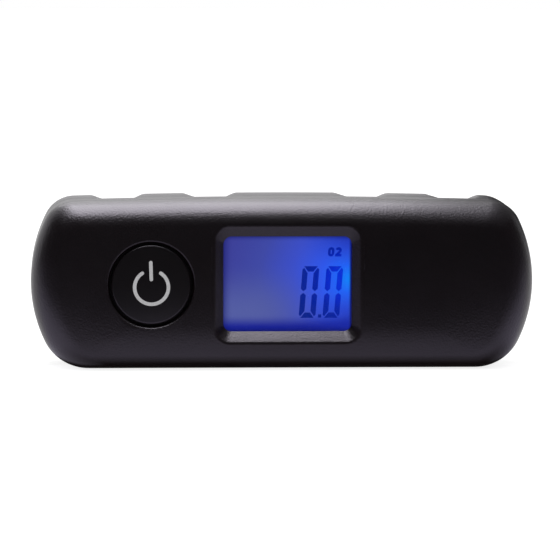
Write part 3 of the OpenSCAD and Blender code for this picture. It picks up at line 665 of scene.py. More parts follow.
def tinted(tree, place, base, grain, spread):
    """Colour that drifts a little darker and lighter over patches of the given size."""
    patches = add(tree, "ShaderNodeTexNoise", {"Vector": place, "Scale": 1 / grain, "Detail": 3.0})
    dark, light = ([c * share for c in base] for share in (1 - spread, 1 + spread))
    ramp = add(tree, "ShaderNodeValToRGB", {"Fac": patches.outputs[0]}, stops=[(0.3, dark), (0.7, light)])
    return ramp.outputs[0]


def worked(tree, shader, place, roughness, grain, depth, drift, spread, details):
    """A fine grain of the given width and depth, and roughness that drifts by a spread over patches."""
    patches = add(tree, "ShaderNodeTexNoise", {"Vector": place, "Scale": 1 / drift, "Detail": details[0]})
    rough = add(tree, "ShaderNodeMapRange", {
        0: patches.outputs[0], 3: roughness - spread, 4: roughness + spread})
    tree.links.new(rough.outputs[0], shader.inputs["Roughness"])
    fine = add(tree, "ShaderNodeTexNoise", {"Vector": place, "Scale": 1 / grain, "Detail": details[1]})
    bump = add(tree, "ShaderNodeBump", {"Height": fine.outputs[0], "Strength": 1.0, "Distance": depth})
    tree.links.new(bump.outputs[0], shader.inputs["Normal"])


# Usual values for moulded plastics and for acrylic, and the depth of a plated surface's drawing marks
PLASTIC_IOR = 1.53
ACRYLIC_IOR = 1.49
DRAWN_DEPTH = 0.002 * MM


def moulded_plastic(name, base, roughness, grain, depth, gloss=(1, 1, 1)):
    """Injection-moulded plastic: an even body colour under a fine spark-eroded grain, satin all over."""
    material, tree, shader, place = new_material(name, {"IOR": PLASTIC_IOR, "Specular Tint": rgba(gloss)})
    tree.links.new(tinted(tree, place, base, grain=12 * MM, spread=0.12), shader.inputs["Base Color"])
    worked(
        tree, shader, place, roughness, grain, depth,
        drift=7 * MM, spread=0.03, details=(2.0, 2.0))
    return material


def plated_metal(name, base, roughness, grain):
    """Plated steel: a bright metal with faint drawing marks and patches that are a little duller."""
    material, tree, shader, place = new_material(name, {"Metallic": 1.0})
    tree.links.new(tinted(tree, place, base, grain=5 * MM, spread=0.06), shader.inputs["Base Color"])
    worked(
        tree, shader, place, roughness, grain, DRAWN_DEPTH,
        drift=2 * MM, spread=0.06, details=(4.0, 3.0))
    return material


# The black pigment takes a little green out of what the surface throws straight back
BLACK_GLOSS = (0.93, 0.87, 1.0)


def shell_plastic(colours):
    # Black ABS from a spark-eroded mould: near black, satin, with a grain that sparkles where light falls
    # off. The real grain is about 0.15 mm and is drawn at 0.5 mm, so that it shows.
    name = "black_abs_moulded"
    made = bpy.data.materials.get(name)
    return made or moulded_plastic(name, colours.shell, 0.36, 0.5 * MM, 0.072 * MM, BLACK_GLOSS)


def cap_plastic(colours):
    # Black ABS from a finer mould: the button is a little smoother than the shells
    return moulded_plastic("black_abs_fine", colours.cap, 0.34, 0.3 * MM, 0.004 * MM, BLACK_GLOSS)


def zinc_plating(colours):
    # Zinc-plated steel: a bluish metal, duller than the nickel of the loop
    name = "steel_zinc_plated"
    return bpy.data.materials.get(name) or plated_metal(name, colours.zinc, 0.32, 0.25 * MM)


def clear_acrylic():
    # Polished acrylic sheet: clear, with the faintest waviness in its gloss
    material, tree, shader, place = new_material("acrylic_polished", {
        "Base Color": (1, 1, 1, 1), "Transmission Weight": 1.0, "IOR": ACRYLIC_IOR})
    waves = add(tree, "ShaderNodeTexNoise", {"Vector": place, "Scale": 1 / (9 * MM)})
    rough = add(tree, "ShaderNodeMapRange", {0: waves.outputs[0], 3: 0.0, 4: 0.02})
    tree.links.new(rough.outputs[0], shader.inputs["Roughness"])
    return material


# Where the LED's light enters the display
LED_GLOW = (DISPLAY_MIDDLE.x + 0.0166, LCD_LOW.y, DISPLAY_MIDDLE.z + 0.0012)
# Where the display's light changes, from its middle or from the LED's height: start and full change. The
# low band and the corners are painted shade
GREY_UP, GREY_ACROSS, LOW_SHADE_BAND = (0.006, -0.008), (0.012, -0.01), (-0.0083, -0.012)
CORNER_SHADE_ACROSS, CORNER_SHADE_UP, CORNER_SHADE_SHARE = (0.004, 0.016), (0.0035, 0.0125), 0.85
# Distances inside the opening's edges where the painted shade along them starts and where it is darkest
EDGE_SHADE_LEFT, EDGE_SHADE_RIGHT, EDGE_SHADE_LEVEL = (0.0026, -0.0004), (0.0008, 0.0001), (0.0016, -0.0002)
# Distance from the LED past which the segments get no lighter or darker
SEGMENT_REACH = 0.016


def lit_lcd(display):
    # LCD glass lit by one LED at its right edge: blue that is brightest by the LED and falls off to a
    # greyish violet.
    # Painted shade darkens it in a band above the lower edge, in the corners on the right and along the
    # opening's edges
    material, tree, shader, place = new_material("lcd_glass_backlit", {
        "Emission Strength": 1.0, "Base Color": rgba(linear("#10142c")),
        "Specular IOR Level": 0.1, "Roughness": 0.3})
    from_led = add(tree, "ShaderNodeVectorMath", {0: place, 1: LED_GLOW}, operation="DISTANCE")
    reach = add(tree, "ShaderNodeMapRange", {
        0: from_led.outputs["Value"], 1: 0.0, 2: display.glass_width})
    glow = add(tree, "ShaderNodeValToRGB", {"Fac": reach.outputs[0]}, stops=[
        (0.0, linear("#0a86ff")),
        (0.11, linear("#2064fa")),
        (0.24, linear("#3058ee")),
        (0.45, linear("#3c50cc")),
        (0.70, linear("#404aa8")),
        (1.0, linear("#3d409a")),
    ])
    axes = add(tree, "ShaderNodeSeparateXYZ", {0: place})
    middle_x, middle_z = DISPLAY_MIDDLE.x, DISPLAY_MIDDLE.z
    # The grey fall-off towards the lower left, and a band of painted shade above the lower edge
    grey_low, grey_left, low_shade_band = (
        add(tree, "ShaderNodeMapRange", {0: axes.outputs[axis], 1: middle + begin, 2: middle + full},
            interpolation_type="SMOOTHSTEP")
        for axis, middle, (begin, full) in (
            ("Z", middle_z, GREY_UP), ("X", middle_x, GREY_ACROSS), ("Z", middle_z, LOW_SHADE_BAND))
    )
    grey = add(tree, "ShaderNodeMath", {0: grey_low.outputs[0], 1: grey_left.outputs[0]},
               operation="MULTIPLY")
    # Painted shade in the corners on the right, above and below the LED's height
    corner_shade_x = add(tree, "ShaderNodeMapRange", {
        0: axes.outputs["X"], 1: middle_x + CORNER_SHADE_ACROSS[0], 2: middle_x + CORNER_SHADE_ACROSS[1]})
    off_led = add(tree, "ShaderNodeMath", {0: axes.outputs["Z"], 1: LED_GLOW[2]}, operation="SUBTRACT")
    off_led = add(tree, "ShaderNodeMath", {0: off_led.outputs[0]}, operation="ABSOLUTE")
    corner_shade_z = add(tree, "ShaderNodeMapRange", {
        0: off_led.outputs[0], 1: CORNER_SHADE_UP[0], 2: CORNER_SHADE_UP[1], 4: CORNER_SHADE_SHARE})
    corner = add(tree, "ShaderNodeMath", {0: corner_shade_x.outputs[0], 1: corner_shade_z.outputs[0]},
                 operation="MULTIPLY")
    # Painted shade along the opening's edges, darkest right at them
    half_width, half_height = display.glass_width / 2, display.glass_height / 2
    edge_shade_sum = 0.0
    for axis, rim, inwards, (begin, full) in (
        ("X", middle_x - half_width, 1, EDGE_SHADE_LEFT), ("X", middle_x + half_width, -1, EDGE_SHADE_RIGHT),
        ("Z", middle_z - half_height, 1, EDGE_SHADE_LEVEL), ("Z", middle_z + half_height, -1, EDGE_SHADE_LEVEL),
    ):
        near = add(tree, "ShaderNodeMapRange", {
            0: axes.outputs[axis], 1: rim + inwards * begin, 2: rim + inwards * full})
        square = add(tree, "ShaderNodeMath", {0: near.outputs[0], 1: 2.0}, operation="POWER")
        edge = add(tree, "ShaderNodeMath", {0: square.outputs[0], 1: edge_shade_sum}, operation="ADD")
        edge_shade_sum = edge.outputs[0]
    light = glow.outputs[0]
    # Mixes in the grey fall-off, then the painted shade of the low band, the corners and the edges
    for share, code in (
        (grey, "#555fa6"), (low_shade_band, "#131f96"), (corner, "#1426a8"), (edge, "#08126a")):
        shaded = add(tree, "ShaderNodeMix", {
            "Factor": share.outputs[0], 6: light, 7: rgba(linear(code))}, data_type="RGBA")
        light = shaded.outputs[2]
    tree.links.new(light, shader.inputs["Emission Color"])
    return material


def lcd_segment(colours):
    # Dark LCD segments: they let a little of the backlight through, more of it near the LED
    material, tree, shader, place = new_material("lcd_segment_dark", {
        "Emission Strength": 1.0, "Base Color": rgba(linear("#060a20")), "Specular IOR Level": 0.1})
    from_led = add(tree, "ShaderNodeVectorMath", {0: place, 1: LED_GLOW}, operation="DISTANCE")
    reach = add(tree, "ShaderNodeMapRange", {0: from_led.outputs["Value"], 1: 0.0, 2: SEGMENT_REACH})
    ramp = add(tree, "ShaderNodeValToRGB", {"Fac": reach.outputs[0]}, stops=[
        (0.2, linear("#0030dc")),
        (0.38, linear("#0026c8")),
        (0.55, colours.segment),
        (0.9, linear("#02218c")),
    ])
    tree.links.new(ramp.outputs[0], shader.inputs["Emission Color"])
    return material


def printed_ink(colours):
    # Pad-printed ink: a flat light grey that is a little uneven where it went on
    material, tree, shader, place = new_material("ink_pad_printed", {"Roughness": 0.55})
    grey = tinted(tree, place, colours.ink, grain=0.5 * MM, spread=0.08)
    tree.links.new(grey, shader.inputs["Base Color"])
    return material


# Operators


class SCALE_OT_front_shell(Operator):
    """Models the front shell: domed face, rounded edge, bezel recess and button hole"""

    bl_idname = "luggage_scale.front_shell"
    bl_label = "Front shell"

    def execute(self, context):
        shell = context.scene.scale_shell
        display = context.scene.scale_display
        inner = front_rings(shell, shell.wall)
        inner.append([(x, SPLIT_Y, z) for x, _, z in inner[-1]])
        outer = front_rings(shell, 0)
        rim = [
            ring(shell, SPLIT_Y - distance, inset, inset, inset)
            for inset, distance in rim_profile(shell.front_rim)
        ]
        piece = wrap_rings("front_case", inner + rim + outer[::-1])
        inside = front_rings(shell, shell.wall - CORE_LAP)
        combine(piece, shell_core("front_shell", inside, SPLIT_Y), "UNION")
        combine(piece, bezel_block(shell, display), "UNION")
        combine(piece, bezel_cutter(shell, display), "DIFFERENCE")
        combine(piece, hole_cutter(shell, context.scene.scale_button), "DIFFERENCE")
        plastic = shell_plastic(context.scene.scale_colours)
        finish_piece(piece, plastic, "body", "black_abs", "front_shell")
        return {"FINISHED"}


class SCALE_OT_rear_shell(Operator):
    """Models the rear shell: finger grooves, rounded edges and its openings"""

    bl_idname = "luggage_scale.rear_shell"
    bl_label = "Rear shell"

    def execute(self, context):
        shell = context.scene.scale_shell
        hardware = context.scene.scale_hardware
        wall = shell.wall
        lift = REAR_HIGH.z - shell.body_height
        inner = rear_rings(shell, wall)
        joint = grooved(shell, ring(shell, SPLIT_Y, wall, wall, wall, lift), lift, wall)
        rim = [
            grooved(shell, ring(shell, SPLIT_Y + distance, inset, inset, inset), lift, inset)
            for inset, distance in rim_profile(shell.rear_rim)
        ]
        rise = []
        for t in steps(RISE_STEPS)[1:]:
            risen = ring(shell, SPLIT_Y + shell.pad_rise * t, 0, 0, 0, lift * t * t * (3 - 2 * t))
            rise.append(grooved(shell, risen, lift, 0))
        piece = wrap_rings("rear_case", [*inner[::-1], joint, *rim, *rise, *rear_rings(shell, 0)])
        inside = rear_rings(shell, wall - CORE_LAP)
        combine(piece, shell_core("rear_shell", inside[::-1], SPLIT_Y), "UNION")
        for x, z in screw_places():
            cutter = round_cutter(x, z, hardware.recess_radius + 2 * HAIR, SCREW_HIGH.y + SCREW_CLEAR)
            combine(piece, cutter, "DIFFERENCE")
        door_radius = hardware.door_radius + hardware.door_gap
        combine(piece, round_cutter(DOOR_MIDDLE.x, DOOR_MIDDLE.z, door_radius, DOOR_LOW.y), "DIFFERENCE")
        notch = lug_outline(
            DOOR_MIDDLE.x, DOOR_MIDDLE.z, door_radius + hardware.lug_reach,
            hardware.lug_width + 4 * hardware.door_gap, -hardware.door_turn)
        notch_cutter = plate("notch_cutter", notch, DOOR_LOW.y, REAR_Y + CUT_OVER - DOOR_LOW.y)
        combine(piece, notch_cutter, "DIFFERENCE")
        slot_width = EYE_HIGH.x - EYE_LOW.x + 2 * hardware.eye_gap + 2 * HAIR
        slot_height = 2 * (hardware.eye_round + hardware.eye_gap + HAIR)
        eye_slot = slot_cutter(
            0, REAR_Y, BUTTON_MIDDLE.z, slot_width, slot_height, hardware.eye_gap,
            wall + CUT_OVER, RIM_STEPS)
        combine(piece, eye_slot, "DIFFERENCE")
        close_mesh(piece)
        plastic = shell_plastic(context.scene.scale_colours)
        finish_piece(piece, plastic, "body", "black_abs", "rear_shell")
        return {"FINISHED"}


def zero_segments(width, height, stroke, gap):
    """Outlines of the six lit segments of a large 0 about its middle, with thin gaps between them."""
    w, h, s, tip = width / 2, height / 2, stroke, stroke / 2
    corner, shoulder, drop = 0.3 * stroke, 0.6 * stroke, 0.2 * stroke + gap
    across = [(-w + corner, h), (w - corner, h), (w - s - gap / 2, h - s), (-w + s + gap / 2, h - s)]
    down = [
        (-w, h - shoulder), (-w + corner, h - drop), (-w + s, h - s - drop),
        (-w + s, tip + gap), (-w + tip, 1.5 * gap), (-w, tip + gap),
    ]
    return [
        across,
        [(x, -z) for x, z in across],
        *([(sx * x, sz * z) for x, z in down] for sx in (-1, 1) for sz in (-1, 1)),
    ]


def stroke_outline(path, width):
    """Outline of a stroke of the given width along a path."""
    sides = ([], [])
    for i, point in enumerate(path):
        before, after = path[max(i - 1, 0)], path[min(i + 1, len(path) - 1)]
        along = (Vector(after) - Vector(before)).normalized()
        for side, sign in zip(sides, (1, -1)):
            side.append((point[0] - sign * along.y * width / 2, point[1] + sign * along.x * width / 2))
    return sides[0] + sides[1][::-1]


def small_strokes(width, height, stroke):
    """Outlines of a small 0 and a small 2 about their middles."""
    w, h = (width - stroke) / 2, (height - stroke) / 2
    lap = math.radians(12)
    half = [
        *arc(0, h - w, w, math.pi / 2 - lap, math.pi, RIM_STEPS * 2),
        *arc(0, w - h, w, math.pi, 1.5 * math.pi + lap, RIM_STEPS * 2),
    ]
    hook_start, hook_end = math.radians(165), math.radians(-25)
    hook = [*arc(0, h - w, w, hook_start, hook_end, RIM_STEPS * 3), (-w, -h)]
    base = [(-w - stroke / 2, -h), (w + stroke / 2, -h)]
    zero = [stroke_outline([(sx * x, z) for x, z in half], stroke) for sx in (1, -1)]
    return zero, [stroke_outline(hook, stroke), stroke_outline(base, stroke)]


# Shares of the large digits' stroke and pitch: half the point's width, and its place across and up
POINT_HALF, POINT_ACROSS, POINT_UP = 0.3, 0.45, 0.35


class SCALE_OT_display(Operator):
    """Finishes the window and the lit LCD, and models the digits on it"""

    bl_idname = "luggage_scale.display"
    bl_label = "Display"

    def execute(self, context):
        display = context.scene.scale_display
        dress("display_window", clear_acrylic())
        dress("lcd_panel", lit_lcd(display))
        lean = math.tan(display.digit_slant)
        y = LCD_LOW.y - 2 * HAIR
        zero = zero_segments(
            display.digit_width, display.digit_height, display.digit_stroke, display.digit_gap)
        half = POINT_HALF * display.digit_stroke
        point = [[(-half, -half), (half, -half), (half, half), (-half, half)]]
        point_x = display.digit_x + POINT_ACROSS * display.digit_pitch
        point_z = display.digit_z - display.digit_height / 2 + POINT_UP * display.digit_stroke
        small = small_strokes(display.small_width, display.small_height, display.small_stroke)
        drawn = [
            *((zero, display.digit_x + i * display.digit_pitch, display.digit_z) for i in range(2)),
            (point, point_x, point_z),
            *((digit, display.small_x + i * display.small_pitch, display.small_z)
              for i, digit in enumerate(small)),
        ]
        plates = []
        for outlines, x, z in drawn:
            for points in outlines:
                places = [
                    (DISPLAY_MIDDLE.x + x + px + pz * lean, DISPLAY_MIDDLE.z + z + pz) for px, pz in points]
                plates.append(plate("segment", places, y, HAIR))
        digits = join("lcd_digits", plates)
        finish_piece(digits, lcd_segment(context.scene.scale_colours), "body", "lcd_glass")
        return {"FINISHED"}


class SCALE_OT_power_button(Operator):
    """Models the power button's cap and the mark printed on it"""

    bl_idname = "luggage_scale.power_button"
    bl_label = "Power button"

    def execute(self, context):
        button = context.scene.scale_button
        colours = context.scene.scale_colours
        front = CAP_LOW.y - button.cap_lift
        rim_r = button.cap_radius - button.cap_round
        face = [(rim_r * t, front + button.cap_dome * t * t) for t in steps(CAP_STEPS)]
        rim_y = face[-1][1] + button.cap_round
        rim = [
            (rim_r + button.cap_round * math.sin(a), rim_y - button.cap_round * math.cos(a))
            for a in steps(CAP_STEPS, 0, math.pi / 2)[1:]
        ]
        flange_r = (CAP_HIGH.x - CAP_LOW.x) / 2
        flange_y = CAP_LOW.y + button.flange_front
        back_y = flange_y + button.flange_thickness
        behind = [
            (button.cap_radius, flange_y), (flange_r, flange_y), (flange_r, back_y),
            (button.pocket_radius, back_y), (button.pocket_radius, flange_y),
            (button.stem_radius, flange_y), (button.stem_radius, CAP_HIGH.y), (0, CAP_HIGH.y),
        ]
        cap = turn("power_cap", BUTTON_MIDDLE.x, BUTTON_MIDDLE.z, face + rim + behind)
        finish_piece(cap, cap_plastic(colours), "button", "black_abs", "power_button")

        def mark_place(x, z):
            return BUTTON_MIDDLE.x + button.mark_aside + x, BUTTON_MIDDLE.z - button.mark_drop + z

        half = button.mark_stroke / 2
        first, last = math.pi / 2 + button.mark_gap, 2.5 * math.pi - button.mark_gap
        ends = [(button.mark_radius * math.cos(a), button.mark_radius * math.sin(a)) for a in (first, last)]
        band = [
            *arc(0, 0, button.mark_radius + half, first, last, TURN_STEPS),
            *arc(*ends[1], half, last, last + math.pi, RIM_STEPS * 2)[1:-1],
            *arc(0, 0, button.mark_radius - half, last, first, TURN_STEPS),
            *arc(*ends[0], half, first - math.pi, first, RIM_STEPS * 2)[1:-1],
        ]
        lean = math.tan(button.mark_lean)
        low, high = button.bar_low, button.bar_high
        side = steps(CORNER_STEPS, low, high)[1:-1]
        bar = [
            *arc(-low * lean, low, half, math.pi, 2 * math.pi, RIM_STEPS * 2),
            *((half - z * lean, z) for z in side),
            *arc(-high * lean, high, half, 0, math.pi, RIM_STEPS * 2),
            *((-half - z * lean, z) for z in reversed(side)),
        ]
        proud = front - HAIR
        ink = 5 * HAIR
        marks = [plate("mark", [mark_place(*p) for p in points], proud, ink) for points in (band, bar)]
        mark = join("power_mark", marks)
        for vertex in mark.data.vertices:
            out = math.hypot(vertex.co.x - BUTTON_MIDDLE.x, vertex.co.z - BUTTON_MIDDLE.z) / rim_r
            vertex.co.y += button.cap_dome * out * out
        finish_piece(mark, printed_ink(colours), "button", "black_abs")
        return {"FINISHED"}


class SCALE_OT_strap_hardware(Operator):
    """Models the wire loop for the strap and the eye that it hangs from"""

    bl_idname = "luggage_scale.strap_hardware"
    bl_label = "Strap hardware"

    def execute(self, context):
        hardware = context.scene.scale_hardware
        plating = plated_metal("steel_nickel_plated", context.scene.scale_colours.plating, 0.2, 0.3 * MM)
        radius = hardware.wire / 2
        bend = hardware.loop_bend
        bar_y = LOOP_LOW.y + radius
        low, high = LOOP_LOW.z + radius, LOOP_HIGH.z - radius
        right = LOOP_HIGH.x - radius
        bpy.ops.object.select_all(action="DESELECT")
        bpy.ops.mesh.primitive_circle_add(
            vertices=WIRE_STEPS, radius=radius, fill_type="NOTHING", location=(0, bar_y, high),
            rotation=(0, math.pi / 2, 0))
        loop = new_piece("wire_loop")
        bpy.ops.object.transform_apply()
        bpy.ops.object.mode_set(mode="EDIT")
        bpy.ops.mesh.select_all(action="SELECT")
        across, down = right - bend, high - low - 2 * bend
        for straight, corner in (
            ((across, 0, 0), (across, bar_y, high - bend)),
            ((0, 0, -down), (across, bar_y, low + bend)),
            ((-2 * across, 0, 0), (-across, bar_y, low + bend)),
            ((0, 0, down), (-across, bar_y, high - bend)),
            ((across, 0, 0), None),
        ):
            bpy.ops.mesh.extrude_region_move(TRANSFORM_OT_translate={"value": straight})
            if corner:
                bpy.ops.mesh.spin(steps=BEND_STEPS, angle=-math.pi / 2, center=corner, axis=(0, 1, 0))
        bpy.ops.object.mode_set(mode="OBJECT")
        close_mesh(loop)
        finish_piece(loop, plating, "loop", "plated_steel", "strap_loop")

        bar_z = BUTTON_MIDDLE.z
        edge = hardware.eye_edge
        block_y = BEAM_HIGH.y
        side = [
            (EYE_HIGH.x - edge * (1 - math.cos(a)), edge * (1 - math.sin(a)))
            for a in steps(RIM_STEPS, 0, math.pi / 2)
        ]
        rings = []
        for x, inset in [(-x, inset) for x, inset in side] + side[::-1]:
            reach = hardware.eye_round - inset
            end = arc(bar_y, bar_z, reach, -math.pi / 2, math.pi / 2, 2 * CORNER_STEPS)
            back = [(block_y + inset, bar_z + reach), (block_y + inset, bar_z - reach)]
            rings.append([(x, y, z) for y, z in end + back])
        eye = wrap_rings("strap_eye", rings)
        bore_rings = []
        for sx in (-1, 1):
            mouth = [
                (sx * (EYE_HIGH.x - ROUND_LIP * depth), hardware.eye_bore + growth)
                for growth, depth in reversed(LIP)
            ]
            mouth.append((sx * (EYE_HIGH.x + CUT_OVER), mouth[-1][1]))
            bore_rings += mouth[::sx]
        bore = wrap_rings("bore_cutter", [
            [(x, y, z) for y, z in arc(bar_y, bar_z, r, 0, 2 * math.pi, BORE_STEPS)[1:]]
            for x, r in bore_rings
        ])
        combine(eye, bore, "DIFFERENCE")
        tip = hardware.shank_radius - edge
        shank = turn("shank", 0, bar_z, [
            (0, EYE_LOW.y), (tip, EYE_LOW.y), (hardware.shank_radius, EYE_LOW.y + edge),
            (hardware.shank_radius, block_y + 2 * edge), (0, block_y + 2 * edge)])
        combine(eye, shank, "UNION")
        finish_piece(eye, plating, "body", "plated_steel", "load_eye")
        return {"FINISHED"}


class SCALE_OT_battery_door(Operator):
    """Models the battery door: a round lid with a coin slot and two lugs"""

    bl_idname = "luggage_scale.battery_door"
    bl_label = "Battery door"

    def execute(self, context):
        hardware = context.scene.scale_hardware
        x, z = DOOR_MIDDLE.x, DOOR_MIDDLE.z
        rim_r = hardware.door_radius - hardware.door_round
        rim_y = DOOR_HIGH.y - hardware.door_round
        rim = [
            (rim_r + hardware.door_round * math.cos(a), rim_y + hardware.door_round * math.sin(a))
            for a in steps(DOOR_STEPS, 0, math.pi / 2)
        ]
        door = turn("coin_door", x, z, [
            (0, DOOR_LOW.y), (hardware.door_radius, DOOR_LOW.y), *rim, (0, DOOR_HIGH.y)])
        lugs = plate(
            "lugs", lug_outline(x, z, hardware.door_radius + hardware.lug_reach, hardware.lug_width, 0),
            DOOR_LOW.y, hardware.lug_thickness)
        combine(door, lugs, "UNION")
        coin_slot = slot_cutter(
            x, DOOR_HIGH.y, z, hardware.coin_length, hardware.coin_width, hardware.coin_width / 2 - HAIR,
            hardware.coin_depth, CORNER_STEPS)
        combine(door, coin_slot, "DIFFERENCE")
        plastic = shell_plastic(context.scene.scale_colours)
        finish_piece(door, plastic, "door", "black_abs", "battery_door")
        return {"FINISHED"}


# Shares of a case screw's radius and head: its tip, the head's straight side and the cross recess
TIP_SHARE = 0.3
SIDE_SHARE = 0.45
CROSS_LENGTH, CROSS_WIDTH, CROSS_DEPTH = 0.62, 0.14, 0.6


class SCALE_OT_case_screws(Operator):
    """Models one case screw with its cross recess, and copies it to the four places"""

    bl_idname = "luggage_scale.case_screws"
    bl_label = "Case screws"

    def execute(self, context):
        hardware = context.scene.scale_hardware
        zinc = zinc_plating(context.scene.scale_colours)
        top = SCREW_HIGH.y
        seat = top - hardware.head_height
        (x, z), *others = screw_places()
        side_y = seat + SIDE_SHARE * hardware.head_height
        crown = [
            (hardware.head_radius * math.cos(a), side_y + (top - side_y) * math.sin(a))
            for a in steps(HEAD_STEPS, 0, math.pi / 2)[:-1]
        ]
        point_y = SCREW_LOW.y + 2 * hardware.screw_radius
        screw = turn("screw", x, z, [
            (0, SCREW_LOW.y), (TIP_SHARE * hardware.screw_radius, SCREW_LOW.y),
            (hardware.screw_radius, point_y), (hardware.screw_radius, seat),
            (hardware.head_radius, seat), *crown, (0, top)])
        for wide, high in ((CROSS_LENGTH, CROSS_WIDTH), (CROSS_WIDTH, CROSS_LENGTH)):
            half_x, half_z = wide * hardware.head_radius, high * hardware.head_radius
            arm = [(x + sx * half_x, z + sz * half_z) for sx, sz in ((-1, -1), (1, -1), (1, 1), (-1, 1))]
            recess_y = top - CROSS_DEPTH * hardware.head_height
            combine(screw, plate("cross_cutter", arm, recess_y, hardware.head_height), "DIFFERENCE")
        screws = [screw]
        for other_x, other_z in others:
            copy = bpy.data.objects.new("screw", screw.data.copy())
            copy.data.transform(Matrix.Translation((other_x - x, 0, other_z - z)))
            context.scene.collection.objects.link(copy)
            screws.append(copy)
        finish_piece(join("cross_screws", screws), zinc, "body", "zinc_steel", "case_screws")
        return {"FINISHED"}


def foam(name, code):
    # Die-cut closed-cell foam: dull, with the edges of small cells showing
    material, tree, shader, place = new_material(name, {"Roughness": 0.95})
    cells = add(tree, "ShaderNodeTexVoronoi", {"Vector": place, "Scale": 1 / (0.4 * MM)})
    height = cells.outputs["Distance"]
    base = linear(code)
    dark = [c * 0.6 for c in base]
    ramp = add(tree, "ShaderNodeValToRGB", {"Fac": height}, stops=[(0.1, dark), (0.6, base)])
    tree.links.new(ramp.outputs[0], shader.inputs["Base Color"])
    bump = add(tree, "ShaderNodeBump", {"Height": height, "Strength": 1.0, "Distance": 0.05 * MM})
    tree.links.new(bump.outputs[0], shader.inputs["Normal"])
    return material


def light_guide():
    # Moulded acrylic guide: milky, with rows of print dots that throw the light forward
    material, tree, shader, place = new_material("acrylic_light_guide", {
        "Transmission Weight": 0.5, "Roughness": 0.35})
    dots = add(tree, "ShaderNodeTexVoronoi", {"Vector": place, "Scale": 1 / (1.1 * MM), "Randomness": 0.0})
    ramp = add(tree, "ShaderNodeValToRGB", {"Fac": dots.outputs["Distance"]}, stops=[
        (0.25, linear("#ffffff")), (0.35, linear("#cfd6ee"))])
    tree.links.new(ramp.outputs[0], shader.inputs["Base Color"])
    return material


def lit_led():
    # Side-view LED under cast resin: a blue glow with whiter specks
    material, tree, shader, place = new_material("led_resin_cast", {
        "Emission Strength": 1.5, "Base Color": rgba(linear("#dfe6f2")), "Roughness": 0.15})
    specks = add(tree, "ShaderNodeTexNoise", {"Vector": place, "Scale": 1 / (1.5 * MM)})
    ramp = add(tree, "ShaderNodeValToRGB", {"Fac": specks.outputs[0]}, stops=[
        (0.3, linear("#2f6dff")), (0.7, linear("#bcd2ff"))])
    tree.links.new(ramp.outputs[0], shader.inputs["Emission Color"])
    return material


def striped(name, codes, pitch, roughness, metallic):
    """A material of straight stripes across X: layered rubber, etched foil or milled metal."""
    material, tree, shader, place = new_material(name, {"Roughness": roughness, "Metallic": metallic})
    # A wave texture repeats every pi / 10 at scale 1
    bands = add(tree, "ShaderNodeTexWave", {"Vector": place, "Scale": math.pi / 10 / pitch},
                bands_direction="X")
    dark, light = (linear(code) for code in codes)
    ramp = add(tree, "ShaderNodeValToRGB", {"Fac": bands.outputs["Fac"]}, stops=[(0.4, dark), (0.6, light)])
    tree.links.new(ramp.outputs[0], shader.inputs["Base Color"])
    return material


def soldermask():
    # Printed circuit board: green mask over copper, with paler tracks that run square
    material, tree, shader, place = new_material("laminate_soldermask", {"Roughness": 0.3})
    # The board stands upright, so its own plane is X and Z
    upright = add(tree, "ShaderNodeMapping", {"Vector": place, "Rotation": (-math.pi / 2, 0, 0)})
    tracks = add(tree, "ShaderNodeTexBrick", {
        "Vector": upright.outputs[0], "Color1": rgba(linear("#14532d")), "Color2": rgba(linear("#185f35")),
        "Mortar": rgba(linear("#2c8752")), "Scale": 1 / (5 * MM), "Mortar Size": 0.03}, offset=0.35)
    tree.links.new(tracks.outputs[0], shader.inputs["Base Color"])
    bump = add(tree, "ShaderNodeBump", {
        "Height": tracks.outputs["Fac"], "Strength": 1.0, "Distance": 0.03 * MM})
    tree.links.new(bump.outputs[0], shader.inputs["Normal"])
    return material


